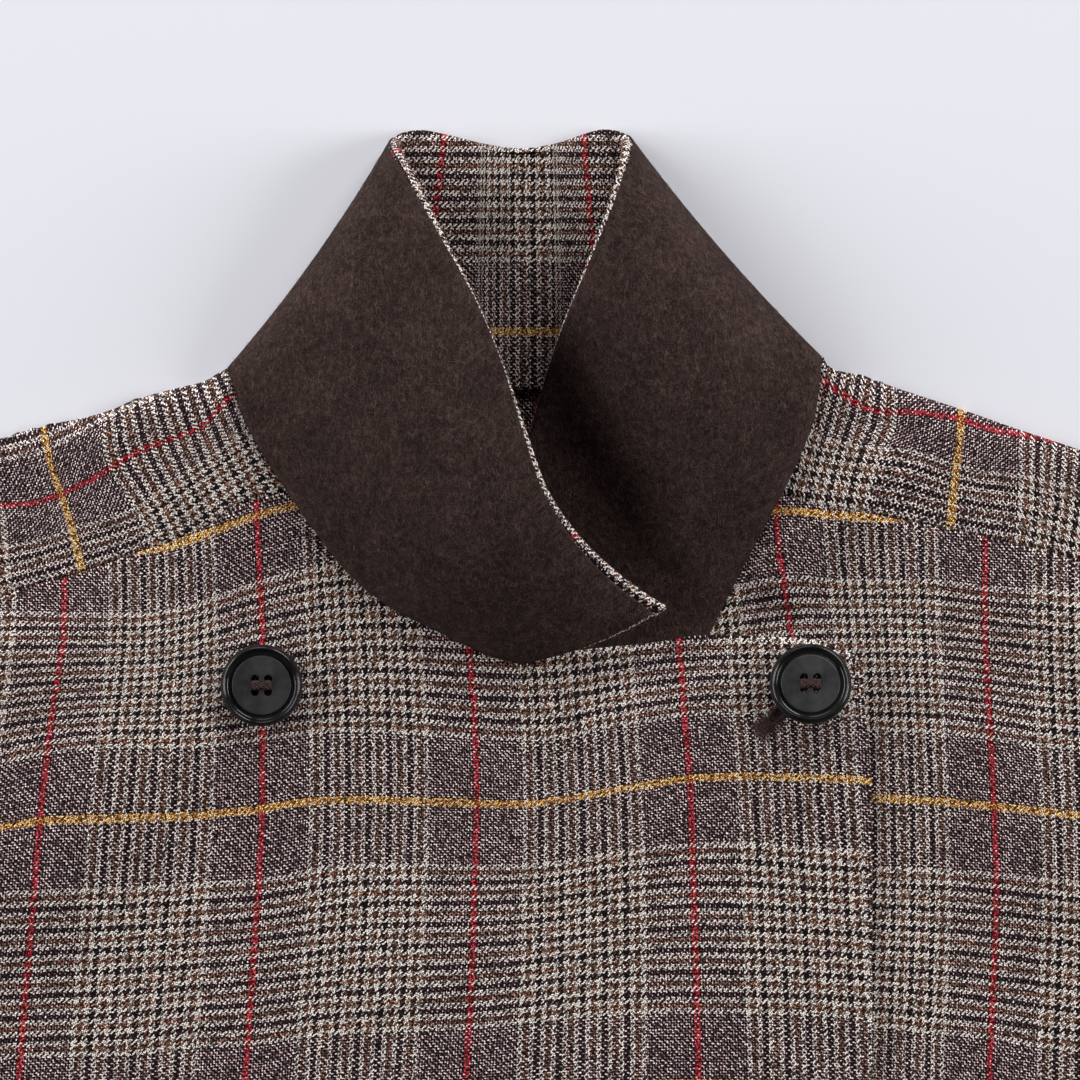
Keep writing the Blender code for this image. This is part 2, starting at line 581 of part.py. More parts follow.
def build():
    """Makes the pieces, hung on an empty that moves the plan to the origin."""
    for old in list(bpy.data.objects):
        bpy.data.objects.remove(old)
    jacket = bpy.data.collections.new("double_breasted_jacket")
    bpy.context.scene.collection.children.link(jacket)
    origin = bpy.data.objects.new("plan", None)
    origin.location = (0.0, PLAN_TO_ORIGIN, 0.0)
    jacket.objects.link(origin)
    check = material("wool_check", *WOOL_FINISH)
    felt = material("felt", *FELT_FINISH)
    horn = material("button_horn", *HORN_FINISH)

    pieces = [cloth("back", facing_up(back_panel()), CLOTH, check, jacket)]
    for side, front, sleeve in ((1, "front_under", "sleeve_left"), (-1, "front_over", "sleeve_right")):
        pieces.append(cloth(front, facing_up(front_panel(side)), CLOTH, check, jacket))
        pieces.append(cloth(sleeve + "_front", facing_up(sleeve_front(side)), CLOTH, check, jacket))
        pieces.append(cloth(sleeve + "_back", facing_up(sleeve_back(side)), CLOTH, check, jacket))
    whole = collar_surface()
    inside = whole - COLLAR_LINING_LAYER * outward(whole)
    pieces.append(cloth("upper_collar", inside, COLLAR_CLOTH, check, jacket))
    outside = drawn_in(whole + COLLAR_LAYER * outward(whole), FELT_EDGE_INSET, FELT_END_INSET)
    pieces.append(cloth("under_collar", outside, FELT, felt, jacket))

    shape = button_mesh()
    shape.materials.clear()
    shape.materials.append(horn)
    for row in range(BUTTON_ROWS):
        for side, name in ((-1, "right"), (1, "left")):
            place = np.array([side * BUTTON_SPREAD, BUTTON_TOP - row * BUTTON_PITCH])
            button = bpy.data.objects.new(f"button_{row + 1}_{name}", shape)
            button.location = (*place, button_rest(place))
            jacket.objects.link(button)
            pieces.append(button)
    for piece in pieces:
        piece.parent = origin


build()
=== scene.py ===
"""Looks of the double-breasted jacket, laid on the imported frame: metres, +Z up, the wearer's right at -X."""

import math

import bpy
import numpy as np
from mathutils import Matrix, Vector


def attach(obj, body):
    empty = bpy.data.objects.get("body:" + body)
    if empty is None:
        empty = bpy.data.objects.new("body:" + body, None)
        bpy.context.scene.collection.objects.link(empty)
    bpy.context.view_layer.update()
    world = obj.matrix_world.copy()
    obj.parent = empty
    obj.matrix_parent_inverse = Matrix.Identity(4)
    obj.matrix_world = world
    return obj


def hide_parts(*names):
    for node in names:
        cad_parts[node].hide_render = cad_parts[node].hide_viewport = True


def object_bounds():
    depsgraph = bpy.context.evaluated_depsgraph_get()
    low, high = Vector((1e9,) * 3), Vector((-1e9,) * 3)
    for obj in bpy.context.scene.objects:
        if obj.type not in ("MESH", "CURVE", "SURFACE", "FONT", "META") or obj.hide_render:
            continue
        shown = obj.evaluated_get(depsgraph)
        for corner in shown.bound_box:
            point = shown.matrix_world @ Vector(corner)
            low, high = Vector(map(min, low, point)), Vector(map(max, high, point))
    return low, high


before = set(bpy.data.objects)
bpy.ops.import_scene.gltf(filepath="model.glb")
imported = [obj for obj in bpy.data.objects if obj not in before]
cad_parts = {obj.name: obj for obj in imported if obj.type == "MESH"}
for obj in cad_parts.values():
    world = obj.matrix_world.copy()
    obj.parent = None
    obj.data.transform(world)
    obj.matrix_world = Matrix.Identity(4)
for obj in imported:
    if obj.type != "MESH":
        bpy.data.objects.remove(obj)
first_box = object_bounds()
shaken = np.random.default_rng(7)
MM = 0.001


def metres(table):
    """A table of millimetres, in metres."""
    return np.array(table, float) * MM


# Cloth, felt and seams
CLOTH = 0.0016
FLOOR_CLEAR = 0.00005
FELT = 0.0017
COLLAR_CLOTH = 0.0014
SEAM_GAP = 0.0003
NECK_TUCK = 0.0012
SHOULDER_NECK_GAP = 0.0014
ARMPIT_GAP = 0.0012
COLLAR_LAYER = (SEAM_GAP + FELT) / 2
COLLAR_LINING_LAYER = (SEAM_GAP + COLLAR_CLOTH) / 2

# Lengths along the garment, from the neck points
COLLAR_TOP = 0.0751
HEM_CENTRE = -0.6993
HEM_SIDE = -0.6920
PLAN_TO_ORIGIN = -(COLLAR_TOP + HEM_CENTRE) / 2

# Widths from the centre front
ARMPIT = (0.262, -0.268)
HEM_HALF = 0.288
FRONT_OVERLAP = 0.1019

# Raglan sleeve: the shoulder fold, then a straight run at this slope to the cuff
SHOULDER_RIGHT = metres([
    (-97.6, -0.4), (-101.3, -2.6), (-111, -4.9), (-122.6, -8.2), (-134.2, -12.7), (-163.5, -20),
])
SHOULDER_LEFT = metres([
    (89.2, 2.2), (93, 0.5), (99.4, -0.8), (110.7, -4.8), (129.3, -10.9), (146.7, -17), (165.9, -23.4),
])
OVERARM = metres([
    (220, -42), (280, -70), (340, -108), (400, -160),
])
SHOULDER_NECK_RISE = 0.0010
SLEEVE_SLOPE = math.radians(48)
SLEEVE_RUN = 0.380
CUFF_WIDTH = 0.140
# Front raglan seams below the neckline, down to the armpit
RAGLAN_RIGHT = metres([
    (-87.5, -38.1), (-97.6, -44.5), (-107.7, -49.4), (-117.7, -52.9), (-127.8, -56.1), (-138.6, -60.4),
    (-147.9, -62.8), (-157.9, -65.7), (-173, -72.2), (-208, -96), (-240, -150), (-257, -213),
])
RAGLAN_LEFT = metres([
    (82, -38.7), (92, -41), (100.7, -41.9), (109.8, -43.9), (118.3, -45.3), (127, -47), (136.3, -49.1),
    (146.9, -51.8), (154.8, -54), (165.3, -56.9), (205, -84), (240, -143), (257, -211),
])
BACK_RAGLAN_START = (0.058, -0.0042)
BACK_SLEEVE_TIP = (0.0030, 0.0016)
BACK_RAGLAN_PULL = [(0.130, -0.035), (0.225, -0.090)]

# Heights of the middle of a top layer above the floor, and where they change
SINGLE_HEIGHT = 0.0050
NECK_RISE = 0.0015
OVER_HEIGHT = 0.0080
HEM_DROP = 0.0012
EDGE_HEIGHT = 0.0004
EDGE_ROLL = 0.008
LAYER_INSET = 0.0032
OVER_RISE_X = (-0.170, -0.105)
NECK_RISE_X = (0.100, 0.180)
NECK_RISE_Y = (-0.085, -0.045)
UNDER_FOLDS_X = (0.104, 0.130)
HEM_NEAR = (0.010, 0.110)
CUFF_NEAR = (0.080, 0.160)
FOLD_STARTS = (-0.15, 0.35)
FOLD_ENDS = (0.65, 1.15)
NECK_FOLD_NEAR = (0.86, 1.0)
ARMPIT_NEAR = (0.70, 1.0)
FRONT_CORNER = (0.0, 0.06)

# Seams press the cloth down: how deep, and how far from the seam it reaches
SEAM_DIP = (0.0011, 0.0022)
NECK_DIP = (0.0022, 0.0030)
FRONT_EDGE_DIP = (0.0012, 0.0045)

# Necklines from the collar's end to the fold at the shoulder
OVER_NECK = metres([
    (-2.7, -86.9), (-11.6, -85.1), (-22, -79.6), (-34, -73.8), (-43.3, -69.9), (-51.8, -63.3),
    (-59.4, -56.8), (-65.2, -48.7), (-72.1, -38.2), (-79.6, -27.9), (-85.5, -18.4), (-90.1, -8.6),
    (-92.8, 0.9),
])
UNDER_NECK = metres([
    (16.5, -106.8), (30, -103), (42, -93.5), (51.9, -79.6), (61.9, -60.1), (70.5, -43.3), (78.7, -25.6),
    (83.9, -12.5), (86, 4.3),
])
RAGLAN_START_Y = -0.0360
# Top edges of the fronts, from the front corner to the collar's end
OVER_TOP = metres([
    (99, -90.5), (95.5, -85), (86.6, -81.5), (73.5, -80.6), (51.9, -79.9), (34.8, -82.4), (19.5, -83.9),
    (4.3, -85.7),
])
UNDER_TOP = metres([
    (-99, -114.5), (-95.5, -109), (-86.6, -106.5), (-60, -106.5), (-20, -108.5), (8, -109.5),
])
BACK_NECK = -0.0049

# Collar sections: a point on the neckline, one on the outer edge and the middle's offset from a straight
# line, each as x, y and z, and the width of the cloth that shows past the felt
COLLAR = metres([
    (-2.7, -86.9, 9.8, 39.4, -70.8, 17, 1, -2.4, 2.4, 3.8),
    (-14, -84.2, 9.8, 24.1, -59.5, 24, 0, 0, 4.6, 3.6),
    (-29.3, -76.9, 9.8, 11.9, -47.3, 29, 0, 0, 6.2, 2.7),
    (-43.3, -69.9, 9.8, 3.7, -35.1, 32.5, 0, 0, 7.4, 2.2),
    (-56.4, -59.4, 9.8, -2.7, -17.4, 34.5, 0, 0, 8, 1.8),
    (-68.3, -44.2, 9.8, -10.1, 4, 34, 0, 0, 8, 0.9),
    (-77.2, -31.4, 9.7, -18.3, 23.5, 31, 0, 0, 7, 0.9),
    (-84.9, -19.3, 9.6, -27.1, 40.9, 27, 0, 0, 5.8, 1.6),
    (-89.5, -9.5, 9.4, -35.4, 57.6, 22, 0.6, -0.3, 3.8, 2.6),
    (-90.8, -4.6, 9, -39.2, 65.2, 18, 1.4, -0.8, 2, 3),
    (-92, -1.3, 7.8, -41.5, 69.4, 13, 1.8, -1.2, 0.8, 3.3),
    (-92.8, 0.9, 5.2, -42.4, 71.4, 8.5, 1.8, -1.4, 0, 3),
    (-92.2, 1.4, 2.8, -41.2, 73.8, 4.2, 1.6, -1.2, 0, 2.4),
    (-89.5, 1, 1.9, -38.1, 74.8, 2.1, 1, -0.6, 0, 2),
    (-70, -1, 1.9, -29, 74, 1.9, 0, 0, 0, 2),
    (-40, -3.4, 1.9, -17, 71.1, 1.9, 0, 0, 0, 2),
    (-2.4, -4.2, 1.9, -4.5, 69.4, 1.9, 0, 0, 0, 2),
    (34, -2, 1.9, 7, 71.2, 1.9, 0, 0, 0, 2),
    (63, 1.8, 1.9, 16, 74.2, 1.9, 0, 0, 0, 2),
    (81.8, 4.2, 1.9, 22.5, 75.2, 2.1, -1, -0.6, 0, 2),
    (85, 4.7, 2.8, 25.6, 74.2, 4.2, -1.4, -1, 0, 2.4),
    (86, 4.3, 5, 26.8, 72, 8, -1.4, -1, 0, 3),
    (85.8, 1.5, 7, 26.5, 69.8, 11.8, -1.2, -0.8, 1, 3),
    (85.3, -3, 7.9, 25.8, 65.5, 17, -0.8, -0.4, 3.2, 2.6),
    (83.9, -12.5, 8.1, 23.8, 58.5, 21, 0, 0, 7, 2.3),
    (81.2, -20, 8, 21.2, 49.5, 24, 0, 0, 10, 2),
    (77, -30, 7.6, 17.8, 40, 24.5, 0, 0, 11.5, 1.7),
    (70.5, -43.3, 7, 13.8, 29.5, 22.5, 0, 0, 11.5, 1.4),
    (64.2, -55.8, 6.3, 9.2, 18, 18.5, 0, 0, 9.5, 1.3),
    (58.2, -67.5, 5.6, 4.8, 5.5, 13.5, 0, 0, 6.5, 1),
    (51.9, -79.6, 4.9, 0, -10, 9, 0, 0, 2.4, 0.8),
    (42, -93.5, 4.4, -5.5, -30, 6.3, 0, 0, 0.3, 1),
    (30, -103, 4.2, -12, -53, 5.2, 0, 0, 0, 1),
    (16.5, -106.8, 4.1, -20, -83, 4.3, 0, 0, 0, 1),
])
# The sections at which the collar folds, at the wearer's right and left shoulder
OVER_FOLD_ROW = 11
UNDER_FOLD_ROW = 21
COLLAR_STEP = 0.0012
COLLAR_LEAST_STEPS = 4
COLLAR_ACROSS = 54
COLLAR_END_STRIP = 0.0011
COLLAR_LINING_INSET = 0.0013

# Soft folds that raise the top layer: a ridge's two ends, each as x and y, its half width and its rise
FOLDS = metres([
    (-100, -100, -235, -215, 22, 3),
    (-120, -75, -215, -110, 16, 2.4),
    (130, -110, 235, -220, 20, 2.6),
    (125, -60, 215, -100, 14, 2),
    (-50, -160, -80, -420, 24, 2.2),
    (170, -300, 200, -560, 26, 2.2),
    (-180, -330, -215, -580, 28, 2.6),
    (-300, -200, -420, -270, 16, 3),
    (300, -205, 415, -285, 16, 3),
    (-440, -330, -520, -360, 14, 2.4),
    (450, -330, 525, -375, 14, 2.4),
])
# The ridge beside the collar's under end: its ends, half width and rise, and how it fades at its ends and
# near the collar
CREASE_START, CREASE_END = metres([(70.5, -63.5), (104.0, -26.0)])
CREASE_HALF = 0.0115
CREASE_RISE = 0.0042
CREASE_LOW = (-0.008, 0.003)
CREASE_HIGH = (-0.018, 0.022)
CREASE_CLEAR = (0.002, 0.010)

# Where the check's lines lie on the plan, in millimetres: the end or the pick, then points along it
OVER_WARP = [
    (-164, [(-211.7, -65.6), (-215.9, -129.6), (-226, -215)]),
    (0, [(-144, -64), (-144.3, -80.8), (-146.7, -96.1), (-150.7, -129.6), (-154.3, -169.3), (-158, -215)]),
    (164, [(-85.1, -47.3), (-83.6, -80.8), (-83.6, -111.6), (-83.6, -132.1), (-85.1, -160.1),
     (-87.2, -190.6), (-88.8, -215)]),
    (328, [(-20.7, -82.3), (-19.2, -99.1), (-18.6, -111.3), (-18.3, -129.6), (-18.9, -154), (-20.1, -190.6),
     (-21.7, -215)]),
    (492, [(43.6, -82.3), (45.1, -104.3), (46.7, -122.9), (47.4, -141.8), (48.5, -178.4), (49.4, -215)]),
]
OVER_WEFT = [
    (-174, [(-163.5, -208.9), (-142.4, -208), (-121.4, -207.4), (-104.6, -205.3), (-87.8, -204.7),
     (-68.9, -201.9), (-53.4, -200.7), (-37.5, -200.1), (-20.7, -199.5), (1.2, -197.3), (16.8, -195.8),
     (32.6, -194.9), (48.5, -194.7), (64, -194.9), (85.1, -195.4), (100, -196.4)]),
    (-50, [(-163.5, -157.7), (-150.7, -157.1), (-136, -156.5), (-118.6, -155.9), (-99.4, -154.6),
     (-83.9, -153.7), (-70.5, -151.1), (-62.8, -149.6), (-33.9, -149.3), (-18, -149.4), (-1.8, -149.1),
     (7.6, -148.2), (20.4, -146.1), (33.5, -144.3), (45.1, -143), (54.6, -142.4), (66.2, -142.7),
     (77.8, -143.6), (89.7, -144.4), (101.3, -145)]),
    (0, [(-163.5, -137.9), (-150.7, -136), (-134.5, -135.4), (-118.6, -134.8), (-105.5, -134.4),
     (-93, -133.1), (-83.9, -132.4), (-73.5, -130.5), (-63.1, -129.8), (-33.9, -130.1), (-18, -130.5),
     (-5.2, -130.8), (4.6, -129.9), (14, -128.4), (23.8, -126.6), (34.8, -124.7), (45.1, -123.2),
     (54.6, -122.6), (66.2, -122.3), (77.8, -122.6), (89.7, -122.9), (101.3, -123.7)]),
    (50, [(-163.5, -119.3), (-157.1, -117.4), (-148.8, -115.8), (-140.9, -114.8), (-134.5, -114.2),
     (-118.6, -113.9), (-99.4, -113.5), (-83.9, -111.6), (-70.5, -110), (-63.1, -109.2), (-33.9, -110),
     (-18.6, -111), (-8.2, -111.6), (1.2, -111.6), (11, -110.7), (20.1, -108), (30.5, -106.6),
     (45.1, -104.2), (54.6, -103.6), (63.1, -103.3), (80.5, -103.7), (99.4, -104.6)]),
    (174, [(-163.5, -72.3), (-144.3, -72.6), (-131.5, -72.7), (-112.2, -71.7), (-99.4, -68), (-83.3, -62.5),
     (-67.1, -58.6)]),
    (224, [(-111.5, -52.2), (-99.4, -48.2), (-85.1, -42.7), (-74.2, -40)]),
]
UNDER_WARP = [
    (-164, [(72.6, -29), (73.2, -39.6), (74.4, -56.4), (77.5, -77.8), (79, -129.6), (78.1, -215)]),
    (0, [(136.9, -49.7), (136.9, -80.8), (139.4, -126.6), (140.3, -152.2), (139.8, -178.4),
     (138.2, -214.4)]),
    (164, [(204, -56.4), (206.2, -129.6), (207.1, -215)]),
]
UNDER_WEFT = [
    (-174, [(101.9, -199.1), (122, -201.2), (138.8, -202.8), (153.4, -205.3), (165, -206.5)]),
    (-50, [(104, -150.2), (122, -150.7), (139.7, -151.8), (155.5, -153.4), (165, -154.3)]),
    (0, [(102.5, -129), (123.2, -130.2), (139.4, -131.5), (153.7, -133), (165.6, -134.4)]),
    (50, [(104.3, -108.9), (122, -109.5), (136.9, -111), (151, -113.5), (161.7, -114.4)]),
    (174, [(62.2, -64), (77.5, -61), (91.8, -62.2), (120.5, -62.4), (136.9, -64.4), (150.7, -65.3)]),
    (224, [(71.4, -41.5), (89.7, -42.7), (109.8, -43.9)]),
]
RIGHT_SLEEVE_WARP = [
    (0, [(-163.5, -39.3), (-155.2, -39.3), (-144.9, -36.2), (-134.5, -31.1), (-125, -25), (-115.3, -20.7),
     (-105.8, -17.3), (-101, -15.2), (-97.9, -11.2), (-94.5, -7.6)]),
    (36, [(-163.5, -51.9), (-155.2, -50.6), (-139.7, -45.8), (-122.3, -40.3), (-105.8, -28.4),
     (-94.2, -20.7)]),
    (128, [(-163.5, -90.6), (-126.9, -76.2), (-97.9, -59.5), (-75, -47.3)]),
]
RIGHT_SLEEVE_WEFT = [
    (0, [(-150.4, -16.9), (-148.1, -27.1), (-144.9, -36.2), (-141, -49), (-138.5, -59.9)]),
    (50, [(-132.7, -14.3), (-131.8, -24.1), (-127.5, -33.5), (-122.3, -41.3), (-118, -51.9)]),
    (-50, [(-170.2, -21.3), (-162.3, -41.3), (-160.9, -56.1), (-159.5, -65.6)]),
    (174, [(-83.6, 0.9), (-77.5, -13.7), (-70.5, -29)]),
]
LEFT_SLEEVE_WARP = [
    (0, [(86.6, -1.8), (92.1, -5.2), (98.5, -9.2), (103.1, -11.2), (111.9, -11.5), (119.9, -12.2),
     (128.4, -13.7), (141.5, -17.7), (151.6, -19.4), (165.3, -22.4)]),
    (-36, [(88.5, -19.2), (96.7, -21), (112.5, -22.4), (130.2, -27.8), (148.2, -30.3), (165.3, -34.3)]),
    (-128, [(77.5, -56.4), (98.8, -58.6), (129.3, -64), (165.9, -72.3)]),
]
LEFT_SLEEVE_WEFT = [
    (0, [(129.9, -10.4), (129, -22.3), (127.4, -35.7), (126.3, -46.5)]),
    (50, [(110.1, -1.8), (109.8, -15.8), (104.6, -26.4), (101.9, -35.7)]),
    (-50, [(148.2, -13.7), (147.6, -18.4), (147.5, -31.7), (146.9, -45.4)]),
    (174, [(63.7, 1.5), (60.7, -13.7), (56.7, -29)]),
]
END_PITCH = 0.000407
PICK_PITCH = 0.0004224
FIELD_UNIT = 0.1
FIELD_GIVE = 0.0006
LEAST_SQUARE = 1e-18
# Places past the photo's frame where the check runs on straight
FAR_DOWN = (-0.430, -0.700)
FAR_ACROSS = (-0.10, 0.02, 0.15, 0.27)
SLEEVE_FAR = (0.26, 0.40, 0.55, 0.72)
SLEEVE_AHEAD = 0.004
SLEEVE_OFF = (0.0, 0.060, 0.120)
# Where a sleeve's bright lines cross, and how far inside the shoulder fold the red one lies
SLEEVE_CROSSING = {-1: (-0.1449, -0.0362), 1: (0.1290, -0.0140)}
RED_INSET = {-1: 0.018, 1: 0.0}

# A grid's width, then spans of it: the share at which each ends, and its step
FRONT_ACROSS = (0.34, (1.0, 0.0024))
FRONT_DOWN = (0.71, (0.42, 0.0024), (1.0, 0.0060))
SLEEVE_ACROSS = (0.15, (1.0, 0.0024))
SLEEVE_DOWN = (0.70, (0.36, 0.0024), (1.0, 0.0050))
EDGE_STEPS = [0.0003, 0.0007, 0.0012, 0.0018, 0.0026, 0.0038, 0.0056, 0.0080]
HIDDEN_DOWN = 110
BACK_ACROSS = 61
SLEEVE_BACK_ACROSS = 30
# Counts of points on lines
RAGLAN_POINTS = 141
SIDE_POINTS = 61
SEAM_EVERY = 4
CURVE_POINTS = 24
PULL_POINTS = 200
NECK_POINTS = 240
TOP_EDGE_POINTS = 200
FOLD_POINTS = 600
FOLD_HEIGHT_POINTS = 80
# How far the rim of a wall bulges
CLOTH_RIM = 0.00025
FELT_RIM = 0.0004


def unit(steps):
    """Steps made one long."""
    return steps / np.linalg.norm(steps, axis=-1, keepdims=True)


def between(at, along, values):
    """The values at lengths along a line, from those at its points."""
    return np.stack([np.interp(at, along, column) for column in values.T], axis=1)


def lengths(line):
    """The length along a line up to each of its points."""
    return np.concatenate([[0], np.cumsum(np.linalg.norm(np.diff(line, axis=0), axis=1))])


def shares(line):
    """Each point's share of the way along its line."""
    along = lengths(line)
    return along / along[-1]


def at_shares(line, at):
    """The points of a line at shares of its length."""
    return between(at, shares(line), line)


def resample(line, count):
    """The same line with count points, evenly spaced."""
    line = np.asarray(line, float)
    along = lengths(line)
    return between(np.linspace(0, along[-1], count), along, line)


def smooth_line(points, count):
    """Points evenly spaced along a smooth curve through the given ones."""
    points = np.asarray(points, float)
    padded = np.vstack([2 * points[0] - points[1], points, 2 * points[-1] - points[-2]])
    dense = []
    for a, b, c, d in zip(padded, padded[1:], padded[2:], padded[3:]):
        for t in np.linspace(0, 1, CURVE_POINTS, endpoint=False):
            dense.append(0.5 * (2 * b + (c - a) * t + (2 * a - 5 * b + 4 * c - d) * t ** 2
                                + (3 * b - a - 3 * c + d) * t ** 3))
    return resample(dense + [points[-1]], count)


def bezier(start, pulls, end, count):
    """Points along a cubic curve with two pulls."""
    t = np.linspace(0, 1, PULL_POINTS)[:, None]
    return resample((1 - t) ** 3 * start + 3 * (1 - t) ** 2 * t * pulls[0]
                    + 3 * (1 - t) * t ** 2 * pulls[1] + t ** 3 * end, count)


def moved_aside(line, distance):
    """A plan line moved to its left by a distance."""
    run = unit(np.gradient(line, axis=0))
    return line + distance * np.stack([-run[:, 1], run[:, 0]], axis=1)


def mirrored(points, side):
    """Plan points of the +X side, taken to the side asked for."""
    return np.asarray(points, float) * np.array([side, 1.0])


def smooth_step(value, low, high):
    """0 below the low value and 1 above the high one, with a soft change between."""
    share = np.clip((value - low) / (high - low), 0, 1)
    return share * share * (3 - 2 * share)


def rolled(distance, radius):
    """0 at an edge and 1 past the radius, as a quarter of an ellipse."""
    return np.sqrt(np.clip(1 - (1 - np.clip(distance / radius, 0, 1)) ** 2, 0, 1))


def along_run(points, start, end):
    """Each plan point's share of the way from start to end, and its distance from that run."""
    run = end - start
    share = ((points - start) @ run) / (run @ run)
    return share, np.linalg.norm(points - start - np.clip(share, 0, 1)[:, None] * run, axis=1)


def distance_to(points, line):
    """The distance of each plan point from a line of points."""
    return np.min([along_run(points, a, b)[1] for a, b in zip(line[:-1], line[1:])], axis=0)


def neckline(side):
    """The side's neckline from the collar's end to the shoulder fold, as a dense line."""
    return smooth_line(OVER_NECK if side < 0 else UNDER_NECK, NECK_POINTS)


def neck_edge(side):
    """The edge of the pieces sewn to the collar: tucked under it, and clear of it at the shoulder fold."""
    line = neckline(side)
    near_fold = smooth_step(shares(line), *NECK_FOLD_NEAR)[:, None]
    gap = -NECK_TUCK + (SHOULDER_NECK_GAP + NECK_TUCK) * near_fold
    return moved_aside(line, -side * gap) + near_fold * np.array([0.0, SHOULDER_NECK_RISE])


def raglan_start(side):
    """Index on the neckline where the raglan seam begins."""
    return int(np.argmin(np.abs(neckline(side)[:, 1] - RAGLAN_START_Y)))


def hem_y(x):
    """The hem's curve, lowest at the centre."""
    return HEM_CENTRE + (HEM_SIDE - HEM_CENTRE) * (x / HEM_HALF) ** 2


def shoulder_fold(side, count):
    """The sleeve's outer fold, from the neck to the cuff."""
    last = OVERARM[-1]
    cuff = last + SLEEVE_RUN * np.array([math.cos(SLEEVE_SLOPE), -math.sin(SLEEVE_SLOPE)])
    arm = mirrored(np.vstack([OVERARM, (last + cuff) / 2, cuff]), side)
    shoulder = SHOULDER_RIGHT if side < 0 else SHOULDER_LEFT
    return smooth_line(np.vstack([neck_edge(side)[-1], shoulder, arm]), count)


def cuff_inner(side):
    """The cuff's corner on the underarm seam."""
    outer = shoulder_fold(side, 2)[-1]
    return outer - CUFF_WIDTH * np.array([side * math.sin(SLEEVE_SLOPE), math.cos(SLEEVE_SLOPE)])


def raglan_seam(side, apart):
    """The front raglan seam, neckline to armpit: the sleeve's side if apart is 1, else the front's."""
    start = neck_edge(side)[raglan_start(side)]
    middle = RAGLAN_RIGHT if side < 0 else RAGLAN_LEFT
    seam = smooth_line(np.vstack([start, middle, mirrored(ARMPIT, side)]), RAGLAN_POINTS)
    seam = moved_aside(seam, apart * side * SEAM_GAP / 2)
    near_armpit = smooth_step(shares(seam), *ARMPIT_NEAR)[:, None]
    return seam + near_armpit * apart * np.array([side * ARMPIT_GAP, ARMPIT_GAP])


def back_raglan(side, apart):
    """The back raglan seam, neck to armpit: the sleeve's side if apart is 1, else the back's."""
    end = mirrored(ARMPIT, side) + apart * np.array([side * ARMPIT_GAP, ARMPIT_GAP])
    seam = bezier(mirrored(BACK_RAGLAN_START, side), mirrored(BACK_RAGLAN_PULL, side), end, RAGLAN_POINTS)
    return moved_aside(seam, apart * side * SEAM_GAP / 2)


def side_seam(side):
    """The body's side, from the armpit to the hem."""
    return resample(mirrored([ARMPIT, (HEM_HALF, HEM_SIDE)], side), SIDE_POINTS)


def underarm_seam(side):
    """The sleeve's inner edge, from the armpit to the cuff."""
    return resample([mirrored(ARMPIT, side), cuff_inner(side)], SIDE_POINTS)


def fold_rise(points):
    """How much the soft folds raise a top layer at plan points."""
    rise = np.zeros(len(points))
    for row in FOLDS:
        share, off = along_run(points, row[0:2], row[2:4])
        taper = smooth_step(share, *FOLD_STARTS) * (1 - smooth_step(share, *FOLD_ENDS))
        rise += row[5] * taper * np.exp(-(off / row[4]) ** 2)
    return rise


def neck_crease(points):
    """A soft ridge beside the under end of the collar, gone where the collar lies on the cloth."""
    share, off = along_run(points, CREASE_START, CREASE_END)
    length = np.linalg.norm(CREASE_END - CREASE_START)
    taper = smooth_step(share * length, *CREASE_LOW) * (1 - smooth_step((share - 1) * length, *CREASE_HIGH))
    clear = smooth_step(distance_to(points, COLLAR[:, :2]), *CREASE_CLEAR)
    return CREASE_RISE * taper * clear * np.exp(-(off / CREASE_HALF) ** 2)


def layer_height(points, side):
    """Height of a top layer's middle: it rolls down to the floor at the side, underarm and shoulder."""
    x, y = points[:, 0], points[:, 1]
    folds = fold_rise(points)
    if side < 0:
        height = SINGLE_HEIGHT + (OVER_HEIGHT - SINGLE_HEIGHT) * smooth_step(x, *OVER_RISE_X)
    else:
        near_neck = smooth_step(y, *NECK_RISE_Y) * (1 - smooth_step(x, *NECK_RISE_X))
        height = SINGLE_HEIGHT + NECK_RISE * near_neck
        folds = folds * smooth_step(x, *UNDER_FOLDS_X) + neck_crease(points)
    near_hem = 1 - smooth_step(y - HEM_CENTRE, *HEM_NEAR)
    from_cuff = np.linalg.norm(points - (cuff_inner(side) + shoulder_fold(side, 2)[-1]) / 2, axis=1)
    near_cuff = 1 - smooth_step(from_cuff, *CUFF_NEAR)
    height = height + folds * (1 - near_hem) - HEM_DROP * np.maximum(near_hem, near_cuff)
    edges = (side_seam(side)[[0, -1]], underarm_seam(side)[[0, -1]], shoulder_fold(side, FOLD_HEIGHT_POINTS))
    edge = np.min([distance_to(points, line) for line in edges], axis=0)
    return EDGE_HEIGHT + (height - EDGE_HEIGHT) * rolled(edge, EDGE_ROLL)


def pressed(points, line, dip):
    """How far a seam along a line presses the cloth down at plan points."""
    depth, reach = dip
    return depth * (1 - rolled(distance_to(points, line), reach))


def patch(top, bottom, left, right, across, down):
    """A plan grid that fills four boundary lines. Across and down are each line's shares, from 0 to 1."""
    u, v = across[None, :, None], down[:, None, None]
    rows = (1 - v) * top[None] + v * bottom[None] + (1 - u) * left[:, None] + u * right[:, None]
    corners = (1 - v) * ((1 - u) * top[0] + u * top[-1]) + v * ((1 - u) * bottom[0] + u * bottom[-1])
    return rows - corners


def stepped(width, *spans):
    """Shares from 0 to 1 over a width, close together at both ends."""
    at, begin = [0.0], 0.0
    for end, step in spans:
        at.extend(np.linspace(begin, end, max(1, round((end - begin) * width / step)) + 1)[1:])
        begin = end
    at, near = np.array(at), np.array(EDGE_STEPS) / width
    at = at[(at > near[-1] + near[0]) & (at < 1 - near[-1] - near[0])]
    return np.concatenate([[0.0], near, at, 1 - near[::-1], [1.0]])


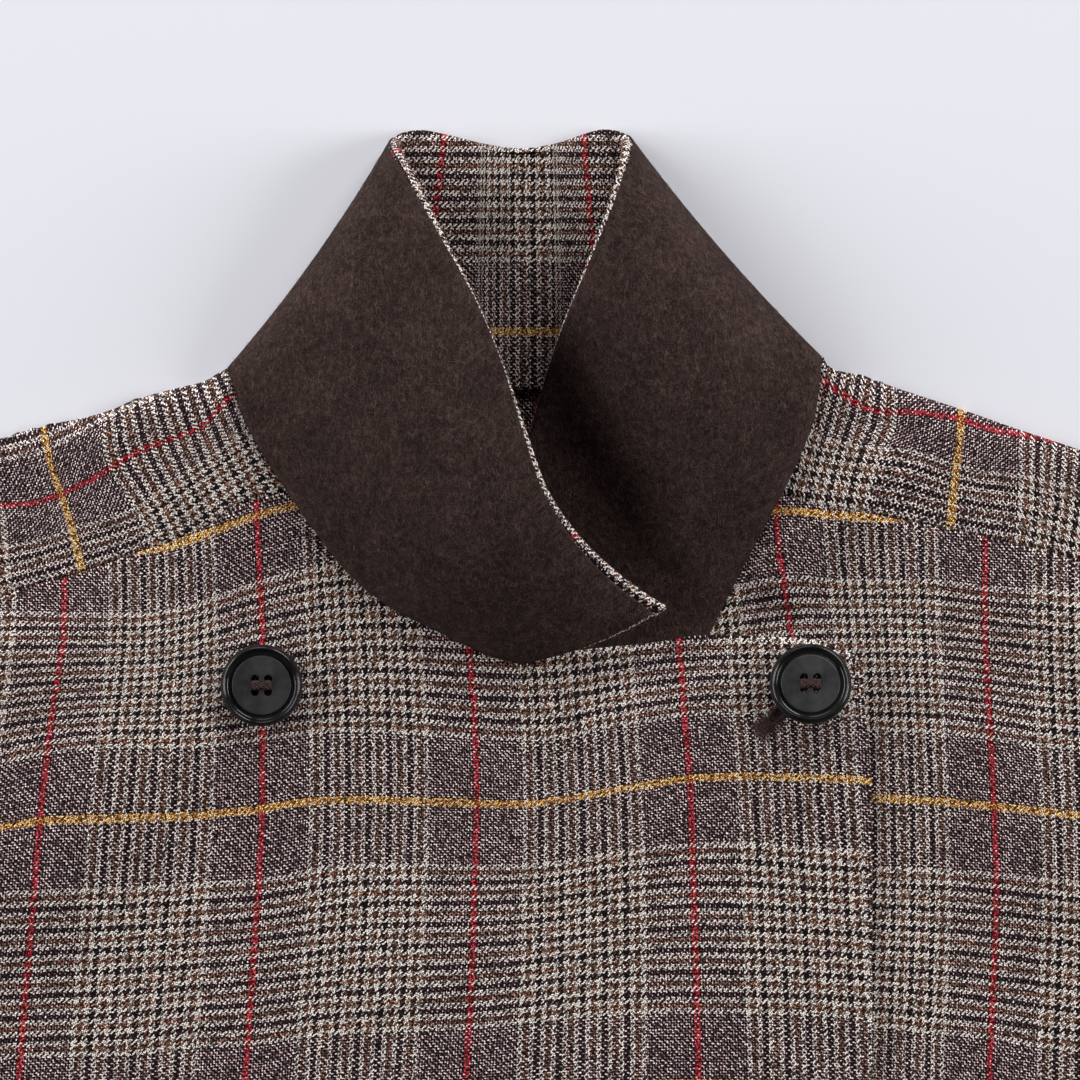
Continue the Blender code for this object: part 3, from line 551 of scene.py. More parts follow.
def raised(plan, height):
    """A plan grid at one height, or at each point's own, turned round if its faces would look down."""
    points = np.dstack([plan, np.resize(height, plan.shape[:2])])
    up = np.cross(points[1, 0] - points[0, 0], points[0, 1] - points[0, 0])[2] > 0
    return points if up else points[:, ::-1]


def front_panel(side):
    """A front: from its edge at the overlap to the raglan and side seams, and neckline to hem."""
    neck = neck_edge(side)[:raglan_start(side) + 1]
    seam = raglan_seam(side, -1)
    top_edge = smooth_line(np.vstack([OVER_TOP if side < 0 else UNDER_TOP, neck[:1]]), TOP_EDGE_POINTS)
    across, down = stepped(*FRONT_ACROSS), stepped(*FRONT_DOWN)
    top = at_shares(np.vstack([top_edge[:-1], neck[:-1], seam[:1]]), across)
    right = at_shares(np.vstack([seam, side_seam(side)[1:]]), down)
    straight = -side * FRONT_OVERLAP
    front_x = straight + (top[0, 0] - straight) * (1 - smooth_step(down, *FRONT_CORNER))
    left = np.stack([front_x, np.interp(down, [0, 1], [top[0, 1], hem_y(FRONT_OVERLAP)])], axis=1)
    hem_x = np.interp(across, [0, 1], [left[-1, 0], right[-1, 0]])
    plan = patch(top, np.stack([hem_x, hem_y(hem_x)], axis=1), left, right, across, down)
    flat = plan.reshape(-1, 2)
    height = layer_height(flat, side) - pressed(flat, seam[::SEAM_EVERY], SEAM_DIP)
    height -= pressed(flat, neck[::SEAM_EVERY], NECK_DIP)
    if side < 0:
        free = np.vstack([left[::-1][::SEAM_EVERY], top_edge[::SEAM_EVERY]])
        height -= pressed(flat, free, FRONT_EDGE_DIP)
    return raised(plan, height)


def sleeve_front(side):
    """The upper half of a raglan sleeve: from the front seams to the shoulder fold, and neck to cuff."""
    seam = raglan_seam(side, 1)
    across, down = stepped(*SLEEVE_ACROSS), stepped(*SLEEVE_DOWN)
    inner = at_shares(np.vstack([seam, underarm_seam(side)[1:]]), down)
    outer = at_shares(shoulder_fold(side, FOLD_POINTS), down)
    neck_line = neck_edge(side)[raglan_start(side) + 1:-1]
    neck = at_shares(np.vstack([inner[:1], neck_line, outer[:1]]), across)
    cuff = at_shares(np.vstack([inner[-1], outer[-1]]), across)
    plan = patch(neck, cuff, inner, outer, across, down)
    flat = plan.reshape(-1, 2)
    lift = rolled(distance_to(flat, shoulder_fold(side, FOLD_HEIGHT_POINTS)), EDGE_ROLL)
    height = layer_height(flat, side) - pressed(flat, seam[::SEAM_EVERY], SEAM_DIP)
    height -= pressed(flat, neck_line[::SEAM_EVERY], NECK_DIP) * lift
    return raised(plan, height)


def sleeve_back(side):
    """The lower half of a raglan sleeve, flat on the floor inside the rolled edges of the upper half."""
    low = moved_aside(underarm_seam(side), side * LAYER_INSET)[1:]
    inner_line = np.vstack([back_raglan(side, 1), low])
    tip = inner_line[0] + mirrored(BACK_SLEEVE_TIP, side)
    outer_line = np.vstack([tip, moved_aside(shoulder_fold(side, FOLD_POINTS), -side * LAYER_INSET)])
    across, down = np.linspace(0, 1, SLEEVE_BACK_ACROSS), np.linspace(0, 1, HIDDEN_DOWN)
    inner, outer = at_shares(inner_line, down), at_shares(outer_line, down)
    first, cuff = (at_shares(np.vstack([inner[k], outer[k]]), across) for k in (0, -1))
    return raised(patch(first, cuff, inner, outer, across, down), CLOTH / 2)


def back_panel():
    """The back: flat on the floor, inside the rolled edges of the fronts."""
    across, down = np.linspace(0, 1, BACK_ACROSS), np.linspace(0, 1, HIDDEN_DOWN)
    sides = []
    for side in (-1, 1):
        low = moved_aside(side_seam(side), -side * LAYER_INSET)[1:]
        sides.append(at_shares(np.vstack([back_raglan(side, -1), low]), down))
    top, hem = (at_shares(np.vstack([sides[0][k], sides[1][k]]), across) for k in (0, -1))
    top[:, 1] += (BACK_NECK - top[0, 1]) * np.sin(np.pi * across)
    hem[:, 1] = hem_y(hem[:, 0])
    return raised(patch(top, hem, *sides, across, down), CLOTH / 2)


def outward(points):
    """Steps from a grid of points out of its faces' side, that move each face by the same distance."""
    along, across = np.diff(points, axis=0), np.diff(points, axis=1)
    facing = unit(np.cross(across[:-1] + across[1:], along[:, :-1] + along[:, 1:]))
    corners = np.pad(facing, ((1, 1), (1, 1), (0, 0)), mode="edge")
    around = np.stack([corners[:-1, :-1], corners[1:, :-1], corners[:-1, 1:], corners[1:, 1:]])
    normal = unit(around.sum(axis=0))
    return normal / (around * normal).sum(axis=3).mean(axis=0)[:, :, None]


# Lengths along the collar of its sections
COLLAR_KNOTS = (lengths(COLLAR[:, 0:3]) + lengths(COLLAR[:, 3:6])) / 2


def collar_sections(at):
    """The collar's section table, smooth between its rows, at lengths along the collar."""
    gaps = np.diff(COLLAR_KNOTS)
    slopes = np.diff(COLLAR, axis=0) / gaps[:, None]
    weigh = (gaps[:-1] / (gaps[:-1] + gaps[1:]))[:, None]
    pulls = np.vstack([slopes[0], slopes[:-1] * (1 - weigh) + slopes[1:] * weigh, slopes[-1]])
    i = np.clip(np.searchsorted(COLLAR_KNOTS, at, side="right") - 1, 0, len(gaps) - 1)
    h = gaps[i][:, None]
    t = ((at - COLLAR_KNOTS[i]) / gaps[i])[:, None]
    return ((2 * t ** 3 - 3 * t ** 2 + 1) * COLLAR[i] + (t ** 3 - 2 * t ** 2 + t) * h * pulls[i]
            + (3 * t ** 2 - 2 * t ** 3) * COLLAR[i + 1] + (t ** 3 - t ** 2) * h * pulls[i + 1])


def collar_grid(at, inset):
    """The collar's middle surface at lengths along it, its outer edge drawn in by the inset."""
    rows = collar_sections(at)
    base, edge, middle = rows[:, None, 0:3], rows[:, None, 3:6], rows[:, None, 6:9]
    width = np.linalg.norm(edge - base, axis=2)
    b = (np.linspace(0, 1, COLLAR_ACROSS) * (1 - np.reshape(inset, (-1, 1)) / width))[:, :, None]
    return (1 - b) * base + b * edge + 4 * b * (1 - b) * middle


def collar_places():
    """Lengths along the collar at which its grids have columns."""
    at = [0.0]
    for begin, end in zip(COLLAR_KNOTS[:-1], COLLAR_KNOTS[1:]):
        count = max(COLLAR_LEAST_STEPS, math.ceil((end - begin) / COLLAR_STEP))
        at.extend(np.linspace(begin, end, count + 1)[1:])
    return np.array(at)


def border(grid):
    """What stands round the edge of a grid, in turn."""
    return np.concatenate([grid[0], grid[1:, -1], grid[-1, -2::-1], grid[-2:0:-1, 0]])


def skin(grid, thickness, cloth_place, bulge=CLOTH_RIM):
    """Points, faces and cloth places of a closed wall round a grid, with a rounded rim."""
    half = outward(grid) * thickness / 2
    total = grid.shape[0] * grid.shape[1]
    index = np.arange(total).reshape(grid.shape[:2])
    loop, inner = border(index), border(np.pad(index[1:-1, 1:-1], 1, mode="edge"))
    middle = grid.reshape(-1, 3)
    rim = middle[loop] + bulge * unit(middle[loop] - middle[inner])
    points = np.vstack([(grid + half).reshape(-1, 3), (grid - half).reshape(-1, 3), rim])
    points[:, 2] = np.maximum(points[:, 2], FLOOR_CLEAR)
    top = np.stack([index[:-1, :-1], index[:-1, 1:], index[1:, 1:], index[1:, :-1]], axis=2).reshape(-1, 4)
    rim_index = 2 * total + np.arange(len(loop))
    next_rim, next_loop = np.roll(rim_index, -1), np.roll(loop, -1)
    high_side = np.stack([next_loop, loop, rim_index, next_rim], axis=1)
    low_side = np.stack([next_rim, rim_index, loop + total, next_loop + total], axis=1)
    places = cloth_place.reshape(-1, 2)
    return (points, np.vstack([top, top[:, ::-1] + total, high_side, low_side]),
            np.vstack([places, places, places[loop]]))


def linked(name, data):
    """A new object of the scene."""
    made = bpy.data.objects.new(name, data)
    bpy.context.scene.collection.objects.link(made)
    return made


def mesh_piece(name, points, faces, places, finish):
    """A smooth mesh of points and faces, moved from the plan to the row's frame, as an object."""
    mesh = bpy.data.meshes.new(name)
    moved = points + np.array([0.0, PLAN_TO_ORIGIN, 0.0])
    mesh.from_pydata(moved.tolist(), [], faces if isinstance(faces, list) else faces.tolist())
    if places is not None:
        layer = mesh.uv_layers.new(name="cloth")
        corner = np.empty(len(mesh.loops), dtype=np.int32)
        mesh.loops.foreach_get("vertex_index", corner)
        layer.data.foreach_set("uv", np.asarray(places, dtype=np.float32)[corner].ravel())
    mesh.shade_smooth()
    mesh.materials.append(finish)
    return linked(name, mesh)


def plate_kernel(first, second):
    """The thin plate's bending term between two sets of places."""
    square = ((first[:, None] - second[None]) ** 2).sum(axis=2)
    return 0.5 * square * np.log(np.maximum(square, LEAST_SQUARE))


def thin_plate(lines):
    """A smooth field over the plan that takes each line's value along the line."""
    places = np.vstack([points for value, points in lines]) / FIELD_UNIT
    values = np.concatenate([np.full(len(points), float(value)) for value, points in lines])
    count = len(places)
    system = np.zeros((count + 3, count + 3))
    system[:count, :count] = plate_kernel(places, places) + FIELD_GIVE * np.eye(count)
    system[:count, count] = 1
    system[:count, count + 1:] = places
    system[count:, :count] = system[:count, count:].T
    solved = np.linalg.solve(system, np.concatenate([values, np.zeros(3)]))

    def field(points):
        scaled = points / FIELD_UNIT
        bent = plate_kernel(scaled, places) @ solved[:count]
        return bent + solved[count] + scaled @ solved[count + 1:]

    return field


def in_metres(lines):
    """Lines of a drape table with their points in metres."""
    return [(value, metres(points)) for value, points in lines]


def front_fields(side):
    """The check's ends and picks over a front."""
    warp = [(end, np.vstack([line, [(line[-1, 0], y) for y in FAR_DOWN]]))
            for end, line in in_metres(OVER_WARP if side < 0 else UNDER_WARP)]
    weft = in_metres(OVER_WEFT if side < 0 else UNDER_WEFT)
    pick, line = weft[0]
    for y in FAR_DOWN:
        weft.append((pick - (line[:, 1].mean() - y) / PICK_PITCH, [(side * x, y) for x in FAR_ACROSS]))
    return thin_plate(warp), thin_plate(weft)


def sleeve_fields(side):
    """The check's ends and picks over an upper sleeve half, whose warp runs along the sleeve."""
    warp = in_metres(RIGHT_SLEEVE_WARP if side < 0 else LEFT_SLEEVE_WARP)
    weft = in_metres(RIGHT_SLEEVE_WEFT if side < 0 else LEFT_SLEEVE_WEFT)
    fold = shoulder_fold(side, FOLD_POINTS)
    along = lengths(fold)
    crossed = along[np.argmin(np.linalg.norm(fold - np.array(SLEEVE_CROSSING[side]), axis=1))]
    for far in SLEEVE_FAR:
        place, ahead = between([far, far + SLEEVE_AHEAD], along, fold)
        run = unit(ahead - place)
        for off in SLEEVE_OFF:
            spot = [place - side * off * np.array([-run[1], run[0]])]
            warp.append((-side * (off - RED_INSET[side]) / END_PITCH, spot))
            weft.append(((crossed - far) / PICK_PITCH, spot))
    return thin_plate(warp), thin_plate(weft)


def at_fields(grid, fields):
    """Ends and picks at a grid's plan places."""
    flat = grid[:, :, :2].reshape(-1, 2)
    return np.dstack([field(flat).reshape(grid.shape[:2]) for field in fields])


def straight_places(grid, run):
    """Ends and picks of a hidden panel, whose warp lies along the run."""
    run = unit(np.array(run))
    flat = grid[:, :, :2]
    return np.dstack([(flat @ np.array([run[1], -run[0]])) / END_PITCH, (flat @ run) / PICK_PITCH])


class Wire:
    """An output of a shader node, which sums can be written with."""

    def __init__(self, tree, socket):
        self.tree, self.socket = tree, socket

    def __add__(self, other):
        return calc("ADD", self, other)

    def __sub__(self, other):
        return calc("SUBTRACT", self, other)

    def __rsub__(self, other):
        return calc("SUBTRACT", other, self)

    def __mul__(self, other):
        return calc("MULTIPLY", self, other)

    def __truediv__(self, other):
        return calc("DIVIDE", self, other)

    def __mod__(self, other):
        return calc("FLOORED_MODULO", self, other)

    def __pow__(self, other):
        return calc("POWER", self, other)

    def __lt__(self, other):
        return calc("LESS_THAN", self, other)

    def __gt__(self, other):
        return calc("GREATER_THAN", self, other)


def plugged(tree, made, inputs):
    """Puts values or wires on a node's inputs."""
    for key, value in inputs.items():
        if isinstance(value, Wire):
            tree.links.new(value.socket, made.inputs[key])
        else:
            made.inputs[key].default_value = value


def node(tree, kind, inputs, out=0, **settings):
    """An output of a new shader node with the given inputs and settings."""
    made = tree.nodes.new("ShaderNode" + kind)
    for name, value in settings.items():
        setattr(made, name, value)
    plugged(tree, made, inputs)
    return Wire(tree, made.outputs[out])


def calc(operation, *values, kind="Math", out=0, **inputs):
    """The output of a sum over wires and values."""
    tree = next(value.tree for value in values if isinstance(value, Wire))
    return node(tree, kind, {**dict(enumerate(values)), **inputs}, out, operation=operation)


def chosen(share, first, second):
    """The first value where the share is 0 and the second where it is 1."""
    return node(share.tree, "Mix", {0: share, 2: first, 3: second}, data_type="FLOAT")


def noise(place, scale, detail, roughness=0.5, out="Fac"):
    """A noise texture's value at a place."""
    return node(place.tree, "TexNoise", {"Vector": place, "Scale": scale, "Detail": detail,
                                         "Roughness": roughness}, out, noise_dimensions="3D")


def ramp(share, stops, interpolation="LINEAR"):
    """The colour at a share of the way along stops. A stop has its share and its colour."""
    wire = node(share.tree, "ValToRGB", {"Fac": share}, "Color")
    band = wire.socket.node.color_ramp
    band.interpolation = interpolation
    while len(band.elements) < len(stops):
        band.elements.new(1.0)
    for k, (position, colour) in enumerate(stops):
        band.elements[k].position = position
        band.elements[k].color = (*colour, 1.0)
    return wire


def bump(height, strength, distance):
    """The normal of a surface with small rises."""
    return node(height.tree, "Bump", {"Strength": strength, "Distance": distance, "Height": height})


def new_finish(name):
    """An empty material, its node tree and its shader."""
    finish = bpy.data.materials.new(name)
    finish.use_nodes = True
    return finish, finish.node_tree, finish.node_tree.nodes["Principled BSDF"]


# The check's chart: yarns in a repeat, and the first and last striped one, counted from the bright line
WARP_REPEAT = 164
WARP_STRIPES = (36, 128)
WEFT_REPEAT = 224
WEFT_STRIPES = (50, 174)
# Four stripes, two that take turns, then the warp's and the weft's bright line
YARN_COLOURS = [
    (1.000, 0.880, 0.810), (0.128, 0.055, 0.032), (1.000, 0.880, 0.810), (0.017, 0.0056, 0.0078),
    (0.470, 0.333, 0.341), (0.0125, 0.0032, 0.0054), (0.450, 0.0180, 0.031), (0.930, 0.385, 0.100),
]
STRIPE = 4
RED, ORANGE = 6, 7
BRIGHT_ENDS = 5
BRIGHT_PICKS = 6
BRIGHT_FUZZ = 0.42
YARN_DRIFT = (1.6, 1.6, 0.0)
DRIFT_SCALE = 0.40
# How far each float's edges and ends fall off: its bump's rise, and the painted shade where the yarns meet
ROUND_ACROSS = 2.8
ROUND_ALONG = 0.9
FIBRE_SCALE = 0.63
FIBRE_CONTRAST = 4.6
CLOUD_SCALE = 0.02
LEAST_SHADE = 0.06
# Weft floats painted lighter and warp floats a little darker: painted light and shade for how each catches the
# light
WEFT_PAINTED_LIGHT, WARP_PAINTED_SHADE = 1.24, 0.97
SHADE_POWER = 1.75
SHADE_GAIN = 2.05
LIGHTEST = (1.0, 0.920, 0.855)
FIBRE_STRETCH = 0.38
FIBRE_THIN = 0.030
# Scales and turns of the felt's fibres
FELT_FIBRES = [(560.0, 0.25), (620.0, 1.05), (700.0, 1.75), (760.0, 2.60), (1000.0, 0.70)]
RIM_FROM = 0.00905


def yarn_index(yarn, repeat, stripes, bright, bright_yarns):
    """The colour's number of a yarn in the chart: 0 to 3 striped, 4 and 5 by turns, then the bright line."""
    half = bright_yarns // 2
    turn = (yarn + half) % repeat
    striped = (turn > stripes[0] + half - 0.5) * (turn < stripes[1] + half - 0.5)
    stripe = calc("FLOOR", (turn - (stripes[0] + half - 0.001)) / STRIPE) % 4
    plain = chosen(turn < bright_yarns - 0.5, yarn % 2 + 4, bright)
    return chosen(striped, plain, stripe)


def yarn_colour(index):
    """The colour of a yarn from its number in the chart."""
    stops = [(k / len(YARN_COLOURS), colour) for k, colour in enumerate(YARN_COLOURS)]
    return ramp((index + 0.5) / len(YARN_COLOURS), stops, "CONSTANT")


def wool_finish():
    """Twill of charted yarns from the cloth's ends and picks: each float with a random tone, painted shade at
    its edges and ends, and painted light by the way it runs.
    """
    finish, tree, shader = new_finish("wool_check")
    place = node(tree, "UVMap", {}, "UV", uv_map="cloth")
    drift = calc("SUBTRACT", noise(place, DRIFT_SCALE, 1.0, out="Color"), (0.5, 0.5, 0.5), kind="VectorMath")
    shifted = calc("MULTIPLY_ADD", drift, YARN_DRIFT, place, kind="VectorMath")
    ends, picks = (node(tree, "SeparateXYZ", {"Vector": shifted}, axis) for axis in "XY")
    i, j = calc("FLOOR", ends), calc("FLOOR", picks)
    in_end, in_pick = ends - i, picks - j
    step = (i - j) % 4
    warp_up = step < 1.5
    warp_index = yarn_index(i, WARP_REPEAT, WARP_STRIPES, RED, BRIGHT_ENDS)
    weft_index = yarn_index(j, WEFT_REPEAT, WEFT_STRIPES, ORANGE, BRIGHT_PICKS)
    above = yarn_colour(chosen(warp_up, weft_index, warp_index))
    hidden = chosen(warp_up, warp_index, weft_index)
    mixed = node(tree, "Mix", {"Factor": (hidden > RED - 0.5) * BRIGHT_FUZZ, "A": above,
                               "B": yarn_colour(hidden)}, "Result", data_type="RGBA")
    off = chosen(warp_up, in_pick, in_end) - 0.5
    along = chosen(warp_up, step - 2 + in_end, 1 - step + in_pick) - 1
    # Each float's round: the bump's height, and painted shade that darkens its edges and ends where the yarns
    # meet
    grain = 1 - off * off * ROUND_ACROSS - along * along * ROUND_ALONG
    spot = node(tree, "CombineXYZ", {"X": i - (1 - warp_up) * (step - 2), "Y": j + warp_up * (step - 1),
                                     "Z": warp_up})
    cell = node(tree, "TexWhiteNoise", {"Vector": spot}, "Value", noise_dimensions="3D")
    fibre = (noise(place, FIBRE_SCALE, 1.0) - 0.5) * FIBRE_CONTRAST + 1
    shade = (cell * 1.10 + 0.25) * calc("MAXIMUM", fibre, LEAST_SHADE)
    # The float's round goes into the colour as painted shade at its edges and ends
    shade = shade * (noise(place, CLOUD_SCALE, 2.0) * 0.24 + 0.88) * calc("MAXIMUM", grain, LEAST_SHADE)
    # Weft and warp floats made lighter and darker here as painted light and shade
    shade = (shade * chosen(warp_up, WEFT_PAINTED_LIGHT, WARP_PAINTED_SHADE)) ** SHADE_POWER * SHADE_GAIN
    tinted = calc("SCALE", mixed, kind="VectorMath", Scale=shade)
    plugged(tree, shader, {"Base Color": calc("MINIMUM", tinted, LIGHTEST, kind="VectorMath"),
                           "Normal": bump(grain, 0.3, 0.00010), "Roughness": 0.92,
                           "Specular IOR Level": 0.12, "Sheen Weight": 0.02, "Sheen Roughness": 0.5})
    return finish


def fibres(place, scale, turn):
    """Fine curved lines, as of loose fibres, from the level lines of a stretched noise."""
    laid = node(place.tree, "Mapping", {"Vector": place, "Scale": (scale, scale * FIBRE_STRETCH, scale),
                                        "Rotation": (0.0, 0.0, turn), "Location": (turn, 0.0, 0.0)})
    return calc("MAXIMUM", 1 - calc("ABSOLUTE", noise(laid, 1.0, 1.0) - 0.5) / FIBRE_THIN, 0.0)


def felt_finish():
    """Dark felt: a mat of short curly fibres over a soft mottled ground."""
    finish, tree, shader = new_finish("felt")
    place = node(tree, "TexCoord", {}, "Object")
    hairs = fibres(place, *FELT_FIBRES[0])
    for fibre in FELT_FIBRES[1:]:
        hairs = hairs + fibres(place, *fibre)
    mat = noise(place, 2600.0, 2.0, 0.6) * 0.90 + noise(place, 480.0, 3.0, 0.6) * 0.75
    mat = mat + noise(place, 60.0, 3.0, 0.55) * 0.42 + hairs * noise(place, 260.0, 2.0) * 0.42
    colour = ramp(calc("MULTIPLY_ADD", mat, 0.50, -0.080),
                  [(0.33, (0.0100, 0.0060, 0.0052)), (0.50, (0.0325, 0.0190, 0.0168)),
                   (0.78, (0.1050, 0.0640, 0.0550))])
    plugged(tree, shader, {"Base Color": colour, "Normal": bump(mat, 0.6, 0.0004), "Roughness": 0.95,
                           "Specular IOR Level": 0.10, "Sheen Weight": 0.03, "Sheen Roughness": 0.6,
                           "Sheen Tint": (0.55, 0.42, 0.38, 1.0)})
    return finish


def horn_finish():
    """Charcoal button horn with faint clouds, satin in the middle and polished at the rim, the rim's colour
    darkened as painted shade for the dark surroundings it reflects.
    """
    finish, tree, shader = new_finish("button_horn")
    place = node(tree, "TexCoord", {}, "Object")
    cloud = noise(place, 160.0, 4.0, 0.6)
    colour = ramp(cloud, [(0.30, (0.0150, 0.0150, 0.0158)), (0.72, (0.0430, 0.0425, 0.0440))])
    flat = calc("MULTIPLY", place, (1.0, 1.0, 0.0), kind="VectorMath")
    rim = calc("LENGTH", flat, kind="VectorMath", out="Value") > RIM_FROM
    # The rim's colour is darkened to a third: painted shade for the dark surroundings its slopes reflect
    colour_with_shaded_rim = calc("SCALE", colour, kind="VectorMath", Scale=chosen(rim, 1.0, 0.35))
    plugged(tree, shader, {"Base Color": colour_with_shaded_rim, "Normal": bump(noise(place, 2600.0, 2.0), 0.05, 0.0002),
                           "Roughness": cloud * 0.16 + chosen(rim, 0.22, 0.08), "Specular IOR Level": 0.36})
    return finish


def thread_finish(name, dark, light):
    """Sewing thread, with the turns of its plies; the same finish serves the loose fibres and the buttonholes'
    painted shade.
    """
    finish, tree, shader = new_finish(name)
    grain = noise(node(tree, "TexCoord", {}, "Object"), 5200.0, 2.0)
    plugged(tree, shader, {"Base Color": ramp(grain, [(0.35, dark), (0.70, light)]), "Roughness": 0.75,
                           "Specular IOR Level": 0.25})
    return finish


WOOL = wool_finish()
FELTED = felt_finish()
HORN = horn_finish()
BROWN_THREAD = thread_finish("brown_thread", (0.024, 0.012, 0.011), (0.095, 0.050, 0.046))
BAR_THREAD = thread_finish("bar_thread", (0.028, 0.012, 0.012), (0.130, 0.070, 0.066))
LOOSE_FIBRE = thread_finish("loose_fibre", (0.038, 0.023, 0.020), (0.180, 0.122, 0.104))
# A near-black finish for the sheet in each buttonhole slit: painted shade for the open gap
HOLE_SHADE = thread_finish("buttonhole_shade", (0.004, 0.003, 0.003), (0.010, 0.006, 0.006))


def seated(piece, slot, *nodes):
    """The piece rides on the jacket and stands for CAD nodes, whose parts it hides; the slot is not used."""
    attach(piece, "root")
    if nodes:
        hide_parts(*nodes)
    return piece


def wool_panel(name, wall):
    """A piece of the wool that stands for the CAD node of the same name."""
    seated(mesh_piece(name + "_cloth", *wall, WOOL), "wool_check", name)


for side, front, sleeve in ((1, "front_under", "sleeve_left"), (-1, "front_over", "sleeve_right")):
    grid = front_panel(side)
    wool_panel(front, skin(grid, CLOTH, at_fields(grid, front_fields(side))))
    grid = sleeve_front(side)
    wool_panel(sleeve + "_front", skin(grid, CLOTH, at_fields(grid, sleeve_fields(side))))
    grid = sleeve_back(side)
    wool_panel(sleeve + "_back", skin(grid, CLOTH, straight_places(grid, (-side * 0.80, 0.60))))
grid = back_panel()
wool_panel("back", skin(grid, CLOTH, straight_places(grid, (0.0, 1.0))))

# Collar: the cloth's own coordinates come from where it lies once its front parts are turned back
OVER_FOLD_LINE = metres([(-93.5, -1.5), (-41.5, 69.4)])
UNDER_FOLD_LINE = metres([(85.8, 1.5), (26.5, 69.8)])
# The check's lines inside the neck: where they cross two levels, and their ends counted from the middle
INSIDE_HIGH = metres([-28.1, -17.4, -14.9, -7.3, 4.6, 6.9, 14.2])
INSIDE_LOW = metres([-32.0, -18.0, -15.6, -7.3, 5.2, 7.9, 16.8])
INSIDE_ENDS = [-82, -51, -31, 0, 31, 51, 82]
INSIDE_Y = (0.0735, 0.0412)
INSIDE_LOWEST = 1.5
INSIDE_LEVELS = 31
INSIDE_PAST = 0.2
INSIDE_PICK_ZERO = 0.0134
# The felt's foot, turned under where the collar stands
FELT_END = 0.001
BASE_TURN = 0.0020
BASE_TURN_SHARE = 0.05
STANDS = (0.0045, 0.0075)
# The roll of cloth along the collar's edge
ROLL_STEP = 0.0007
ROLL_SOFTENINGS = 14
ROLL_RADIUS = 0.0015
ROLL_LOW, ROLL_LOW_END = -0.00155, -0.00115
ROLL_HIGH, ROLL_HIGH_END = 0.00135, 0.00075
ROLL_TUCK = 0.0008
ROLL_TURNS = 11
ROLL_PICK = 56.0
TIP_PUSH = 0.0022
TIP_REACH = 0.0024
TIP_NEAR = 8
TIP_END = 73.0


def turned_back(plan, line):
    """Plan places past a fold line, reflected across it."""
    run = unit(line[1] - line[0])
    off = plan - line[0]
    return line[0] + 2 * (off @ run)[..., None] * run - off


def collar_weave(grid, at):
    """Ends and picks of the collar cloth."""
    plan = grid[:, :, :2].copy()
    over, under = at < COLLAR_KNOTS[OVER_FOLD_ROW], at > COLLAR_KNOTS[UNDER_FOLD_ROW]
    plan[over] = turned_back(plan[over], OVER_FOLD_LINE)
    plan[under] = turned_back(plan[under], UNDER_FOLD_LINE)
    x, y = plan[:, :, 0], plan[:, :, 1]
    low = np.clip((INSIDE_Y[0] - y) / (INSIDE_Y[0] - INSIDE_Y[1]), 0, INSIDE_LOWEST)
    past = np.array([-INSIDE_PAST, INSIDE_PAST])
    far_ends = np.insert(past / END_PITCH + np.array(INSIDE_ENDS)[[0, -1]], 1, INSIDE_ENDS)
    ends = np.zeros_like(x)
    for share in np.linspace(0, INSIDE_LOWEST, INSIDE_LEVELS):
        line_x = INSIDE_HIGH + (INSIDE_LOW - INSIDE_HIGH) * share
        weight = np.clip(1 - np.abs(low - share) / (INSIDE_LOWEST / (INSIDE_LEVELS - 1)), 0, 1)
        ends += weight * np.interp(x, np.insert(past + line_x[[0, -1]], 1, line_x), far_ends)
    return np.dstack([ends + WARP_REPEAT / 2, (y - INSIDE_PICK_ZERO) / PICK_PITCH])


places_along = collar_places()
whole = collar_grid(places_along, 0.0)
strip = collar_sections(places_along)[:, 9]

inner_grid = collar_grid(places_along, COLLAR_LINING_INSET)
inner_grid = inner_grid - COLLAR_LINING_LAYER * outward(inner_grid)
upper = skin(inner_grid, COLLAR_CLOTH, collar_weave(inner_grid, places_along))

felt_along = places_along[(places_along > COLLAR_END_STRIP) & (places_along < places_along[-1] - FELT_END)]
felt_grid = collar_grid(felt_along, np.interp(felt_along, places_along, strip))
felt_grid = felt_grid + COLLAR_LAYER * outward(felt_grid)
stands = smooth_step(felt_grid[:, :1, 2], *STANDS)
felt_grid[:, :, 2] -= BASE_TURN * stands * (1 - rolled(np.linspace(0, 1, COLLAR_ACROSS), BASE_TURN_SHARE))
felt_wall = skin(felt_grid, FELT, felt_grid[:, :, :2], FELT_RIM)


